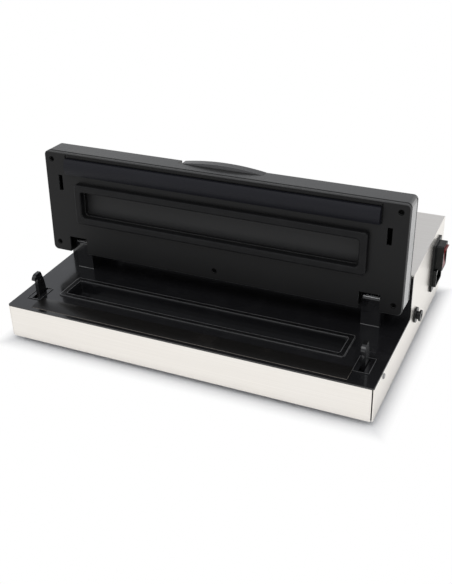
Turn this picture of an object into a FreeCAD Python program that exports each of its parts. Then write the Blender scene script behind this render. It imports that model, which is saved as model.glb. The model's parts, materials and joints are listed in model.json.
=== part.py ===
import FreeCAD, Part
import Sketcher
import math
import os
import re
from collections import namedtuple

# A countertop vacuum sealer with a hinged lid, shown open: sizes in millimetres and degrees.
# X runs to the right, Y to the rear, Z up; the origin is under the middle of the casing, on the floor.
# Names ending in _back are measured from the casing's front face, _rise and _drop from the deck's top.

SIZES = {
    # Steel casing
    "casing_width": 400.0,
    "casing_depth": 265.0,
    "apron_height": 38.0,
    "foot_height": 6.0,
    "sheet": 1.0,
    "bend_radius": 2.0,
    "deck_depth": 128.5,
    "housing_front_rise": 48.7,
    "housing_rear_rise": 54.0,
    "housing_return": 9.0,
    "fit": 0.3,
    # Bottom pan and feet
    "pan_sheet": 1.2,
    "pan_lip": 10.0,
    "vent_length": 36.0,
    "vent_width": 4.0,
    "vent_pitch": 11.0,
    "vent_count": 8.0,
    "vent_back": 170.0,
    "foot_radius": 9.0,
    "foot_neck": 3.0,
    "foot_round": 1.0,
    "foot_taper": 1.0,
    "foot_cap": 4.4,
    "foot_cap_height": 2.4,
    "foot_inset": 32.0,
    # Moulded deck
    "deck_flange": 1.8,
    "deck_wall": 2.4,
    "skirt_depth": 8.0,
    "trough_depth": 12.0,
    "trough_rim": 1.0,
    "upstand": 1.6,
    "port_inset": 58.0,
    "port_back": 56.5,
    "port_radius": 5.0,
    "port_rise": 5.0,
    "hose_bore": 2.2,
    "hose_radius": 3.6,
    "nipple_bore": 1.3,
    "nipple_length": 7.0,
    # Deck seal
    "seal_inset": 40.0,
    "seal_back": 35.7,
    "seal_depth": 41.3,
    "seal_band": 7.0,
    "seal_radius": 3.6,
    "seal_rise": 1.2,
    "seal_round": 0.8,
    "seal_root": 1.5,
    # Heat sealing strip
    "heater_gap": 0.1,
    "heater_back": 14.7,
    "heater_width": 20.4,
    "heater_recess": 6.0,
    "bed_rise": 0.3,
    "strip_width": 6.0,
    "strip_thick": 0.3,
    "tape_thick": 0.4,
    "tape_rise": 1.2,
    # Hooks that hold the lid down
    "hook_inset": 19.0,
    "hook_thick": 4.0,
    "hook_neck_back": 28.4,
    "hook_width": 12.8,
    "hook_nose": 4.8,
    "hook_tip": 1.0,
    "hook_brow": 1.5,
    "hook_bulge": 1.2,
    "hook_sweep": 3.3,
    "hook_catch_rise": 19.5,
    "hook_top_rise": 25.6,
    "hook_head": 7.0,
    "hook_tail_drop": 26.0,
    "hook_slot_width": 13.8,
    "hook_slot_fore": 7.9,
    "hook_slot_aft": 3.1,
    "slot_rim": 0.6,
    "slot_lip": 1.2,
    "pivot_back": 30.8,
    "pivot_drop": 6.1,
    "pivot_radius": 2.0,
    "pivot_head": 2.8,
    "pivot_head_thick": 1.2,
    "pivot_reach": 23.5,
    "hook_bar_depth": 7.0,
    "hook_bar_height": 6.0,
    "running_fit": 0.05,
    # Hinges
    "hinge_inset": 34.25,
    "hinge_setback": 17.0,
    "hinge_cover": 9.3,
    "bracket_front": 10.5,
    "bracket_brow": 3.5,
    "brow_round": 2.0,
    "shoulder_drop": 9.1,
    "ear_radius": 5.5,
    "ear_thick": 4.0,
    "pin_radius": 2.0,
    "pin_reach": 6.0,
    "pin_edge": 0.5,
    "spring_wire": 0.6,
    "spring_turns": 3.0,
    "spring_pitch": 2.0,
    "spring_leg": 8.0,
    "spring_room": 4.3,
    # Lid shells
    "lid_gap": 8.1,
    "lid_side_gap": 1.3,
    "lid_front_back": 2.1,
    "lid_overhang": 5.8,
    "lid_radius": 5.0,
    "lid_edge": 2.0,
    "lid_wall": 2.4,
    "lid_plate_thick": 3.0,
    "plate_edge": 0.7,
    "parting": 0.5,
    "lid_open": 92.755,
    "notch_gap": 1.1,
    "notch_room": 2.3,
    "slot_side": 0.5,
    "slot_clearance": 0.8,
    "slot_behind": 4.1,
    "catch_depth": 6.0,
    "catch_width": 11.0,
    "lid_recess": 6.0,
    "screw_radius": 2.3,
    "boss_radius": 4.6,
    "screw_side": 10.0,
    "screw_front_back": 10.7,
    "screw_rear_fore": 4.3,
    # Lid seal and pressure bar
    "lid_seal_grow": 1.8,
    "lid_seal_band": 8.0,
    "seal_gap": 0.6,
    "lid_seal_round": 2.0,
    "bar_short": 1.1,
    "bar_gap": 0.7,
    "bar_side": 3.4,
    "bar_end_gap": 1.6,
    # Sliding lid lock
    "lock_travel": 4.2,
    "tab_width": 89.5,
    "tab_shift": 1.1,
    "tab_bulge": 3.7,
    "tab_depth": 9.0,
    "tab_thick": 10.4,
    "tab_lift": 1.4,
    "tab_stem_width": 40.0,
    "tab_stem_thick": 4.0,
    "lock_bar_depth": 9.0,
    "lock_bar_thick": 2.6,
    "wedge_width": 7.0,
    "wedge_push": 8.0,
    "wedge_gap": 0.6,
    # Mains inlet and rocker switch
    "inlet_inset": 37.0,
    "inlet_rise": 13.0,
    "inlet_width": 32.0,
    "inlet_height": 56.0,
    "inlet_flange": 2.4,
    "inlet_body_width": 27.6,
    "inlet_body_height": 49.0,
    "inlet_body_depth": 30.0,
    "socket_width": 24.4,
    "socket_height": 17.0,
    "socket_depth": 18.0,
    "socket_nip": 4.2,
    "socket_wall": 1.5,
    "socket_collar": 3.6,
    "socket_drop": 12.4,
    "pin_thick": 2.0,
    "pin_width": 4.0,
    "pin_length": 14.0,
    "pin_pitch": 7.0,
    "pin_step": 4.0,
    "rocker_lift": 11.2,
    "rocker_height": 22.8,
    "rocker_width": 14.4,
    "rocker_gap": 0.6,
    "rocker_frame": 8.0,
    "rocker_frame_wall": 1.8,
    "rocker_crown": 8.6,
    "rocker_dip": 2.4,
    "rocker_pivot": 3.0,
    "trunnion_radius": 1.2,
    "trunnion_reach": 1.2,
    "rocker_tilt": 6.0,
    # Accessory hose port
    "spigot_back": 149.0,
    "spigot_drop": 7.0,
    "spigot_flange_radius": 8.3,
    "spigot_flange": 2.0,
    "spigot_neck_radius": 4.3,
    "spigot_neck": 2.7,
    "spigot_lip_radius": 6.0,
    "spigot_lip": 1.9,
    "spigot_bore": 2.5,
    "spigot_depth": 8.0,
    # Control panel
    "panel_width": 132.0,
    "panel_depth": 44.0,
    "panel_thick": 2.0,
    "panel_edge": 1.0,
    "panel_radius": 6.0,
    "panel_inset": 59.0,
    "panel_skirt": 5.0,
    "button_width": 26.0,
    "button_depth": 15.0,
    "button_radius": 4.0,
    "button_edge": 0.7,
    "button_gap": 6.0,
    "button_rise": 1.8,
    "button_travel": 1.2,
    "button_shift": 6.0,
    "lens_radius": 1.8,
    "lens_shift": 12.0,
    "board_drop": 12.0,
    "board_thick": 1.6,
    "post_radius": 3.0,
    "post_inset": 10.0,
    # Pump, transformer and hoses
    "pump_inset": 36.0,
    "pump_back": 170.0,
    "pump_width": 44.0,
    "pump_depth": 44.0,
    "pump_height": 46.0,
    "pump_round": 4.0,
    "fin_count": 3.0,
    "fin_pitch": 9.0,
    "fin_lift": 14.0,
    "fin_gap": 2.4,
    "fin_depth": 5.5,
    "motor_radius": 19.0,
    "motor_length": 62.0,
    "motor_lift": 24.0,
    "motor_round": 2.4,
    "bearing_radius": 6.3,
    "bearing_length": 6.3,
    "saddle_length": 31.0,
    "saddle_width": 26.6,
    "saddle_height": 14.5,
    "hose_lift": 5.6,
    "spigot_hose_inset": 62.0,
    "core_inset": 82.0,
    "core_back": 196.0,
    "core_width": 62.0,
    "core_depth": 30.0,
    "core_height": 52.0,
    "core_limb": 11.0,
    "coil_swell": 9.0,
    "coil_round": 4.0,
}

PLACES = {
    "half_width": "casing_width / 2",
    "front": "-casing_depth / 2",
    "rear": "casing_depth / 2",
    "casing_bottom": "foot_height",
    "deck_top": "foot_height + apron_height",
    "steel_top": "deck_top - deck_flange",
    "wall_front": "front + deck_depth",
    "housing_front_top": "deck_top + housing_front_rise",
    "housing_rear_top": "deck_top + housing_rear_rise",
    "housing_depth": "casing_depth - deck_depth",
    "housing_slope": "atan((housing_rear_rise - housing_front_rise) / housing_depth)",
    "pan_top": "casing_bottom + pan_sheet",
    "inner_half": "half_width - sheet - fit",
    "inner_front": "front + sheet + fit",
    "deck_rear": "wall_front - fit / 2",
    "deck_under": "deck_top - deck_wall",
    "trough_floor": "deck_top - trough_depth",
    "seal_half": "half_width - seal_inset",
    "trough_half": "seal_half - seal_band - trough_rim",
    "trough_back": "seal_back + seal_band + trough_rim",
    "trough_end": "seal_back + seal_depth - seal_band - trough_rim",
    "port_x": "-half_width + port_inset",
    "hook_x": "half_width - hook_inset",
    "hook_slot_back": "hook_neck_back - hook_slot_fore",
    "hook_slot_depth": "hook_slot_fore + hook_width + hook_slot_aft",
    "heater_half": "hook_x - hook_slot_width / 2 - slot_lip - heater_gap",
    "hook_spring_x": "(hook_x + hook_thick / 2 + inner_half - deck_wall) / 2",
    "lid_thick": "hook_top_rise - lid_gap + tab_lift + tab_thick",
    "hinge_rise": "lid_gap + lid_thick - hinge_cover",
    "hinge_x": "half_width - hinge_inset",
    "hinge_back": "deck_depth - hinge_setback",
    "screw_rear_back": "hinge_back - screw_rear_fore",
    "hinge_z": "deck_top + hinge_rise",
    "lid_half": "half_width - lid_side_gap",
    "spring_bay": "spring_turns * spring_pitch + spring_wire * 2 + spring_room",
    "bracket_width": "spring_bay + ear_thick * 2",
    "bracket_rear": "hinge_cover - lid_wall - fit * 2",
    "notch_half": "bracket_width / 2 + notch_gap",
    "lid_axis_depth": "hinge_rise - lid_gap",
    "lid_front": "lid_front_back - hinge_back",
    "lid_face": "-lid_axis_depth",
    "plate_top": "lid_face + lid_plate_thick",
    "cover_bottom": "plate_top + parting",
    "cover_ceiling": "lid_top - lid_wall",
    "lid_top": "lid_face + lid_thick",
    "lid_slot_back": "hook_neck_back - slot_clearance",
    "lid_slot_width": "hook_thick + slot_side * 2",
    "lid_slot_depth": "slot_clearance + hook_width + slot_behind",
    "lid_seal_half": "seal_half + lid_seal_grow",
    "lid_seal_back": "seal_back - lid_seal_grow",
    "lid_seal_end": "seal_back + seal_depth + lid_seal_grow",
    "lid_seal_rise": "lid_gap - seal_rise - seal_gap",
    "bar_half": "heater_half - bar_short",
    "bar_rise": "lid_gap - tape_rise - bar_gap",
    "inlet_z": "deck_top + inlet_rise",
    "inlet_y": "rear - inlet_inset",
    "socket_z": "inlet_z - socket_drop",
    "rocker_z": "inlet_z + rocker_lift",
    "spigot_y": "front + spigot_back",
    "spigot_z": "deck_top - spigot_drop",
    "pivot_y": "front + pivot_back",
    "pivot_z": "deck_top - pivot_drop",
    "panel_back": "casing_depth - panel_inset",
    "panel_y": "front + panel_back",
    "button_pitch": "panel_width / 3 - button_gap",
    "panel_z": "housing_front_top + (panel_back - deck_depth) * tan(housing_slope)",
    "pump_x": "-half_width + pump_inset",
    "pump_front": "front + pump_back",
    "motor_y": "pump_front + pump_depth / 2",
    "motor_z": "pan_top + motor_lift",
    "hose_z": "pan_top + hose_lift",
    "tab_left": "tab_shift - tab_width / 2",
    "tab_back_wall": "lid_front + tab_depth + fit",
    "tab_floor": "lid_top - tab_thick",
    "lock_bar_front": "screw_front_back + boss_radius + fit * 2 - hinge_back",
}

doc = FreeCAD.newDocument("VacuumSealer")
sheet = doc.addObject("Spreadsheet::Sheet", "Sizes")
for row, (alias, size) in enumerate(SIZES.items(), 1):
    sheet.set(f"A{row}", alias)
    sheet.set(f"B{row}", str(size))
    sheet.setAlias(f"B{row}", alias)
doc.recompute()

WORD = re.compile(r"[a-z][a-z_0-9]*")
# Share of a corner's radius between its two sides and the middle of its arc
CORNER = "(1 - sqrt(0.5))"
Circle = namedtuple("Circle", "x y radius")
NODES = []


# Expressions
def bound(text):
    """The text with each named size tied to its cell and each named place written out."""

    def tie(found):
        name = found.group()
        if name in PLACES:
            return f"({bound(PLACES[name])})"
        return f"Sizes.{name}" if name in SIZES else name

    return WORD.sub(tie, str(text))


def number(text):
    return float(sheet.evalExpression(bound(text)))


def point(node):
    return FreeCAD.Vector(number(node[0]), number(node[1]), 0)


# Outlines
def box(x0, y0, x1, y1):
    return [(x0, y0), (x1, y0), (x1, y1), (x0, y1)]


def via(x, y):
    return (x, y, "via")


def rounded(x0, y0, x1, y1, radius):
    """A rectangle whose corners are quarter circles."""
    near = f"({radius}) * {CORNER}"
    return [
        (f"{x0} + ({radius})", y0),
        (f"{x1} - ({radius})", y0),
        via(f"{x1} - {near}", f"{y0} + {near}"),
        (x1, f"{y0} + ({radius})"),
        (x1, f"{y1} - ({radius})"),
        via(f"{x1} - {near}", f"{y1} - {near}"),
        (f"{x1} - ({radius})", y1),
        (f"{x0} + ({radius})", y1),
        via(f"{x0} + {near}", f"{y1} - {near}"),
        (x0, f"{y1} - ({radius})"),
        (x0, f"{y0} + ({radius})"),
        via(f"{x0} + {near}", f"{y0} + {near}"),
    ]


def middle(x, y, width, height, radius=None):
    """A rectangle about its middle, with rounded corners if it has a radius."""
    sides = (
        f"{x} - ({width}) / 2",
        f"{y} - ({height}) / 2",
        f"{x} + ({width}) / 2",
        f"{y} + ({height}) / 2",
    )
    return rounded(*sides, radius) if radius else box(*sides)


def slot(x, y, width, length):
    """A slot with round ends, long in Y."""
    half = f"({width}) / 2"
    run = f"(({length}) - ({width})) / 2"
    return [
        (f"{x} - {half}", f"{y} - {run}"),
        via(x, f"{y} - ({length}) / 2"),
        (f"{x} + {half}", f"{y} - {run}"),
        (f"{x} + {half}", f"{y} + {run}"),
        via(x, f"{y} + ({length}) / 2"),
        (f"{x} - {half}", f"{y} + {run}"),
    ]


# Sketches
def hold(sketch, geometry, spot, x, y):
    """Ties one point of a sketch to its place."""
    for kind, text in (("DistanceX", x), ("DistanceY", y)):
        rule = Sketcher.Constraint(kind, -1, 1, geometry, spot, number(text))
        index = sketch.addConstraint(rule)
        sketch.setExpression(f"Constraints[{index}]", bound(text))


def draw_circle(sketch, circle):
    centre = FreeCAD.Vector(number(circle.x), number(circle.y), 0)
    shape = Part.Circle(centre, FreeCAD.Vector(0, 0, 1), number(circle.radius))
    geometry = sketch.addGeometry(shape, False)
    hold(sketch, geometry, 3, circle.x, circle.y)
    index = sketch.addConstraint(Sketcher.Constraint("Radius", geometry, number(circle.radius)))
    sketch.setExpression(f"Constraints[{index}]", bound(circle.radius))


def draw_loop(sketch, loop):
    """Lines between corners, and an arc wherever a via point lies between two corners."""
    edges = []
    for index, node in enumerate(loop):
        if len(node) == 3:
            continue
        after = loop[(index + 1) % len(loop)]
        if len(after) == 3:
            end = loop[(index + 2) % len(loop)]
            arc = Part.Arc(point(node), point(after), point(end))
            geometry = sketch.addGeometry(arc, False)
            guide = sketch.addGeometry(Part.Point(point(after)), True)
            hold(sketch, guide, 1, after[0], after[1])
            sketch.addConstraint(Sketcher.Constraint("PointOnObject", guide, 1, geometry))
        else:
            geometry = sketch.addGeometry(Part.LineSegment(point(node), point(after)), False)
        starts = sketch.getPoint(geometry, 1).distanceToPoint(point(node)) < 1e-6
        first = 1 if starts else 2
        hold(sketch, geometry, first, node[0], node[1])
        edges.append((geometry, first, 3 - first))
    for (before, _, last), (after, first, _) in zip(edges, edges[1:] + edges[:1]):
        sketch.addConstraint(Sketcher.Constraint("Coincident", before, last, after, first))


def draw(body, plane, level, loops):
    """A sketch on one of the body's own origin planes, moved along that plane's axis."""
    sketch = body.newObject("Sketcher::SketchObject", f"{body.Name}_{plane}")
    origin = body.Origin.OriginFeatures
    sketch.AttachmentSupport = [(next(f for f in origin if f.Role == f"{plane}_Plane"), "")]
    sketch.MapMode = "FlatFace"
    sign = "-" if plane == "XZ" else ""
    sketch.setExpression("AttachmentOffset.Base.z", bound(f"{sign}({level})"))
    for loop in loops:
        if isinstance(loop, Circle):
            draw_circle(sketch, loop)
        else:
            draw_loop(sketch, loop)
    doc.recompute()
    return sketch


# Bodies and features
def new_body(label):
    body = doc.addObject("PartDesign::Body", label)
    body.Label = label
    NODES.append(body)
    return body


def feature(body, kind, sketch, length):
    made = body.newObject(f"PartDesign::{kind}", f"{body.Name}_{kind}")
    made.Profile = sketch
    made.setExpression("Length", bound(length))
    before = body.Shape.Volume if not body.Shape.isNull() else 0.0
    doc.recompute()
    change = body.Shape.Volume - before
    if (change <= 0) if kind == "Pad" else (change >= 0):
        raise ValueError(f"{made.Name} on {body.Label} changed nothing: {change}")
    return made


def add(body, plane, low, high, *loops):
    """Material between two levels along the plane's axis."""
    start = high if plane == "XZ" else low
    return feature(body, "Pad", draw(body, plane, start, loops), f"({high}) - ({low})")


def cut(body, plane, low, high, *loops):
    """A hole or pocket between two levels along the plane's axis."""
    start = low if plane == "XZ" else high
    return feature(body, "Pocket", draw(body, plane, start, loops), f"({high}) - ({low})")


def revolve(body, plane, loop, axis):
    made = body.newObject("PartDesign::Revolution", f"{body.Name}_Revolution")
    made.Profile = draw(body, plane, "0", [loop])
    made.ReferenceAxis = (made.Profile[0], [axis])
    made.Angle = 360
    doc.recompute()
    return made


def pattern(body, made, length, count):
    """Copies of a feature in a row along X."""
    row = body.newObject("PartDesign::LinearPattern", f"{body.Name}_row")
    row.Originals = [made]
    row.Direction = (made.Profile[0], ["H_Axis"])
    row.setExpression("Length", bound(length))
    row.setExpression("Occurrences", bound(count))
    body.Tip = row
    doc.recompute()
    return row


def mirror(body, *originals):
    """The same features on the other side of the middle plane."""
    made = body.newObject("PartDesign::Mirrored", f"{body.Name}_mirror")
    made.Originals = list(originals)
    origin = body.Origin.OriginFeatures
    made.MirrorPlane = (next(f for f in origin if f.Role == "YZ_Plane"), [""])
    body.Tip = made
    doc.recompute()
    return made


def edges(body, **places):
    """Names of the edges that lie wholly at the given coordinates."""
    wanted = {axis: [number(t) for t in ([v] if isinstance(v, str) else v)] for axis, v in places.items()}
    names = []
    for index, edge in enumerate(body.Tip.Shape.Edges, 1):
        span = edge.LastParameter - edge.FirstParameter
        spots = [edge.valueAt(edge.FirstParameter + span * share) for share in (0, 0.5, 1)]
        lies = all(
            any(all(abs(getattr(s, axis) - value) < 1e-4 for s in spots) for value in values)
            for axis, values in wanted.items()
        )
        if lies:
            names.append(f"Edge{index}")
    if not names:
        raise ValueError(f"no edge of {body.Label} at {places}")
    return names


def soften(body, kind, size, names):
    made = body.newObject(f"PartDesign::{kind}", f"{body.Name}_{kind}")
    made.Base = (body.Tip if body.Tip != made else made.BaseFeature, sorted(set(names)))
    made.setExpression("Radius" if kind == "Fillet" else "Size", bound(size))
    doc.recompute()
    return made


def place(body, x, y, z, axis=None, angle="0"):
    """Moves a body to its place, turned about an axis if one is given."""
    if axis:
        body.Placement = FreeCAD.Placement(
            FreeCAD.Vector(), FreeCAD.Rotation(FreeCAD.Vector(*axis), number(angle))
        )
        body.setExpression("Placement.Rotation.Angle", bound(angle))
    for name, text in (("x", x), ("y", y), ("z", z)):
        body.setExpression(f"Placement.Base.{name}", bound(text))


def shaped(label, shape):
    """A sub-part whose outline follows a path, made straight from its formula."""
    made = doc.addObject("Part::Feature", label)
    made.Label = label
    made.Shape = shape
    NODES.append(made)
    return made


def from_front(back):
    return f"front + ({back})"


def lid_y(back):
    """A closed lid's distance from the casing's front face, in the lid's own frame at the hinge."""
    return f"({back}) - hinge_back"


# Steel housing: one sheet folded over from its front wall to its rear wall, between the two sides
def make_casing():
    body = new_body("casing")
    slope = "tan(housing_slope)"
    hem = "deck_top - housing_return"
    outline = [
        ("wall_front", hem),
        ("wall_front", "housing_front_top"),
        ("rear", "housing_rear_top"),
        ("rear", "casing_bottom"),
        ("rear - sheet", "casing_bottom"),
        ("rear - sheet", f"housing_rear_top - sheet - sheet * {slope}"),
        ("wall_front + sheet", f"housing_front_top - sheet + sheet * {slope}"),
        ("wall_front + sheet", hem),
    ]
    add(body, "YZ", "sheet - half_width", "half_width - sheet", outline)
    outer = edges(body, y="wall_front", z="housing_front_top") + edges(body, y="rear", z="housing_rear_top")
    soften(body, "Fillet", "bend_radius", outer)
    inner = edges(body, y="wall_front + sheet", z=outline[6][1]) + edges(body, y="rear - sheet", z=outline[5][1])
    soften(body, "Fillet", "bend_radius - sheet", inner)
    window = middle("0", "panel_y", "panel_width - panel_skirt", "panel_depth - panel_skirt", "panel_radius")
    cut(body, "XY", "housing_front_top - panel_skirt", "housing_rear_top + sheet", window)


# Side panels, low beside the deck and tall beside the housing, with the holes that each side needs
def make_side(label, side):
    body = new_body(label)
    outline = [
        ("front + sheet", "casing_bottom"),
        ("rear", "casing_bottom"),
        ("rear", "housing_rear_top"),
        ("wall_front", "housing_front_top"),
        ("wall_front", "steel_top"),
        ("front + sheet", "steel_top"),
    ]
    low, high = ("half_width - sheet", "half_width") if side > 0 else ("-half_width", "sheet - half_width")
    add(body, "YZ", low, high, outline)
    tops = edges(body, y="wall_front", z="housing_front_top") + edges(body, y="rear", z="housing_rear_top")
    soften(body, "Fillet", "bend_radius", tops)
    holes = [Circle("pivot_y", "pivot_z", "pivot_radius + running_fit")]
    if side > 0:
        holes.append(Circle("spigot_y", "spigot_z", "spigot_neck_radius + fit"))
        room = ("inlet_body_width + fit * 2", "inlet_body_height + fit * 2")
        holes.append(middle("inlet_y", "inlet_z", *room))
    cut(body, "YZ", low, high, *holes)


# Front apron, which stops short of the side panels and leaves an open seam at each corner
def make_apron():
    body = new_body("apron")
    end = "half_width - sheet * 2"
    plate = box(f"-({end})", "front", end, "front + sheet")
    add(body, "XY", "casing_bottom", "steel_top", plate)


# Bottom pan with folded lips, vent slots under the transformer and holes for the feet
def make_pan():
    body = new_body("bottom_pan")
    fore, aft = "front + sheet", "rear - sheet"
    half = "half_width - sheet"
    add(body, "XY", "casing_bottom", "pan_top", box(f"-({half})", fore, half, aft))
    for low, high in ((fore, f"{fore} + pan_sheet"), (f"{aft} - pan_sheet", aft)):
        lip = box(f"bend_radius - ({half})", low, f"{half} - bend_radius", high)
        add(body, "XY", "pan_top", "casing_bottom + pan_lip", lip)
    feet = [
        Circle(f"{x} * (half_width - foot_inset)", f"{y} * (rear - foot_inset)", "foot_neck + fit / 3")
        for x in (-1, 1)
        for y in (-1, 1)
    ]
    cut(body, "XY", "casing_bottom - pan_sheet", "pan_top + pan_sheet", *feet)
    row = "vent_pitch * (vent_count - 1)"
    first = f"half_width - core_inset - core_width / 2 - {row} / 2"
    opening = slot(first, from_front("vent_back"), "vent_width", "vent_length")
    vent = cut(body, "XY", "casing_bottom - pan_sheet", "pan_top + pan_sheet", opening)
    pattern(body, vent, row, "vent_count")


# Rubber feet: a button foot whose neck snaps through the pan
def make_foot(label, x, y):
    body = new_body(label)
    outline = [
        ("0", "0"),
        ("foot_radius - foot_round", "0"),
        via(f"foot_radius - foot_round * {CORNER}", f"foot_round * {CORNER}"),
        ("foot_radius", "foot_round"),
        ("foot_radius - foot_taper", "foot_height"),
        ("foot_neck", "foot_height"),
        ("foot_neck", "pan_top"),
        ("foot_cap", "pan_top"),
        ("foot_neck", "pan_top + foot_cap_height"),
        ("0", "pan_top + foot_cap_height"),
    ]
    revolve(body, "XZ", outline, "V_Axis")
    place(body, f"{x} * (half_width - foot_inset)", f"{y} * (rear - foot_inset)", "0")


# Moulded deck: flange over the steel, skirt inside it, upstand that faces the housing's front wall,
# vacuum trough, heater bay and hook slots
def make_deck():
    body = new_body("deck")
    near = f"bend_radius * {CORNER}"
    rim = [
        ("-half_width + bend_radius", "front"),
        ("half_width - bend_radius", "front"),
        via(f"half_width - {near}", f"front + {near}"),
        ("half_width", "front + bend_radius"),
        ("half_width", "deck_rear"),
        ("-half_width", "deck_rear"),
        ("-half_width", "front + bend_radius"),
        via(f"-half_width + {near}", f"front + {near}"),
    ]
    add(body, "XY", "steel_top", "deck_top", rim)
    inner_rear = "deck_rear - fit"
    skirt = rounded("-inner_half", "inner_front", "inner_half", inner_rear, "bend_radius")
    add(body, "XY", "deck_under", "steel_top", skirt)
    hollow = box(
        "deck_wall - inner_half",
        "inner_front + deck_wall",
        "inner_half - deck_wall",
        f"{inner_rear} - deck_wall",
    )
    add(body, "XY", "deck_top - skirt_depth", "deck_under", skirt, hollow)
    facing = box("-half_width", "deck_rear - upstand", "half_width", "deck_rear")
    add(body, "XY", "deck_top", "housing_front_top - bend_radius", facing)
    trough = ("-trough_half", from_front("trough_back"), "trough_half", from_front("trough_end"))
    radius = "seal_radius - trough_rim * 2"
    grown = [f"{t} {sign} deck_wall" for t, sign in zip(trough, "--++")]
    add(body, "XY", "trough_floor - deck_wall", "deck_under", rounded(*grown, f"{radius} + deck_wall"))
    bay = (
        "-heater_half - fit",
        from_front("heater_back - heater_width / 2 - fit"),
        "heater_half + fit",
        from_front("heater_back + heater_width / 2 + fit"),
    )
    tray = (bay[0] + " - deck_wall", "inner_front + fit", bay[2] + " + deck_wall", bay[3] + " + deck_wall")
    add(body, "XY", "deck_top - heater_recess - deck_wall", "deck_under", box(*tray))
    cut(body, "XY", "deck_top - heater_recess", "deck_top", box(*bay))
    cut(body, "XY", "trough_floor", "deck_top", rounded(*trough, radius))
    cut(body, "XY", "deck_top - seal_root", "deck_top", *seal_ring())
    boss = Circle("port_x", from_front("port_back"), "port_radius")
    add(body, "XY", "trough_floor", "trough_floor + port_rise", boss)
    nipple = Circle("port_x", from_front("port_back"), "hose_bore")
    floor = "trough_floor - deck_wall"
    add(body, "XY", f"{floor} - nipple_length", floor, nipple)
    bore = Circle("port_x", from_front("port_back"), "nipple_bore")
    cut(body, "XY", f"{floor} - nipple_length", "trough_floor + port_rise", bore)
    slot_y = from_front("hook_slot_back + hook_slot_depth / 2")
    lip_size = ("hook_slot_width + slot_lip * 2", "hook_slot_depth + slot_lip * 2")
    lip = middle("hook_x", slot_y, *lip_size, "slot_lip * 2")
    collar = add(body, "XY", "deck_top", "deck_top + slot_rim", lip)
    mirror(body, collar)
    hole = middle("hook_x", slot_y, "hook_slot_width", "hook_slot_depth", "slot_lip")
    opening = cut(body, "XY", "deck_under - fit", "deck_top + slot_rim", hole)
    mirror(body, opening)
    pivot = Circle("pivot_y", "pivot_z", "pivot_radius + fit")
    guide = cut(body, "YZ", "inner_half - deck_wall * 2", "inner_half + fit", pivot)
    mirror(body, guide)


def seal_ring():
    """Outer and inner loops of the deck seal."""
    outer = ("-seal_half", from_front("seal_back"), "seal_half", from_front("seal_back + seal_depth"))
    inner = [f"{t} {sign} seal_band" for t, sign in zip(outer, "++--")]
    return rounded(*outer, "seal_radius"), rounded(*inner, "seal_radius - trough_rim")


def make_deck_seal():
    body = new_body("deck_seal")
    add(body, "XY", "deck_top - seal_root", "deck_top + seal_rise", *seal_ring())
    soften(body, "Fillet", "seal_round", edges(body, z="deck_top + seal_rise"))


# Heat sealing strip: insulating bed, resistance ribbon and non-stick tape bowed over it
def make_heater():
    bed = new_body("heater_bed")
    width = ("heater_back - heater_width / 2", "heater_back + heater_width / 2")
    side = [from_front(t) for t in width]
    top = "deck_top + bed_rise"
    add(bed, "XY", "deck_top - heater_recess", top, box("-heater_half", side[0], "heater_half", side[1]))
    ribbon = new_body("heater_ribbon")
    line = middle("0", from_front("heater_back"), "heater_half * 2", "strip_width")
    add(ribbon, "XY", top, f"{top} + strip_thick", line)
    tape = new_body("seal_tape")
    bow = [
        (side[0], top),
        (f"{side[0]} + tape_thick", top),
        via(from_front("heater_back"), "deck_top + tape_rise - tape_thick"),
        (f"{side[1]} - tape_thick", top),
        (side[1], top),
        via(from_front("heater_back"), "deck_top + tape_rise"),
    ]
    add(tape, "YZ", "-heater_half", "heater_half", bow)


# Hooks: two beaked plates on one rocking bar, each on a pivot through the casing's side
def make_hook(label, side):
    body = new_body(label)
    neck = from_front("hook_neck_back")
    back = from_front("hook_neck_back + hook_width")
    crown = from_front("hook_neck_back + hook_head")
    beak = from_front("hook_neck_back - hook_nose")
    catch = "deck_top + hook_catch_rise"
    top = "deck_top + hook_top_rise"
    tail = "deck_top - hook_tail_drop"
    bar = "hook_bar_depth / 2"
    outline = [
        (neck, "pivot_z - pivot_radius * 2"),
        (neck, catch),
        (f"{beak} + hook_tip", catch),
        via(f"{beak} + hook_tip * {CORNER}", f"{catch} + hook_tip * {CORNER}"),
        (beak, f"{catch} + hook_tip"),
        via(f"{neck} - hook_bulge", f"{top} - hook_bulge / 2"),
        (f"{neck} + hook_brow", top),
        (crown, top),
        via(f"{crown} + hook_sweep", f"{catch} - hook_sweep"),
        (back, "deck_top - deck_wall"),
        (back, "pivot_z - pivot_radius * 2"),
        (f"pivot_y + {bar}", tail),
        (f"pivot_y - {bar}", tail),
    ]
    middle_x = f"{side} * hook_x"
    add(body, "YZ", f"{middle_x} - hook_thick / 2", f"{middle_x} + hook_thick / 2", outline)
    pivot = Circle("pivot_y", "pivot_z", "pivot_radius + running_fit")
    cut(body, "YZ", f"{middle_x} - hook_thick", f"{middle_x} + hook_thick", pivot)


def make_hook_bar():
    body = new_body("hook_bar")
    tail = "deck_top - hook_tail_drop"
    end = "hook_x - hook_thick / 2"
    fore = "pivot_y - hook_bar_depth / 2"
    aft = "pivot_y + hook_bar_depth / 2"
    top = f"{tail} + hook_bar_height"
    add(body, "YZ", f"-({end})", end, box(fore, tail, aft, top))
    groove = box(f"{fore} + sheet", f"{tail} - sheet", f"{aft} - sheet", f"{top} - sheet")
    cut(body, "YZ", f"-({end}) + sheet", f"{end} - sheet", groove)


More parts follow.
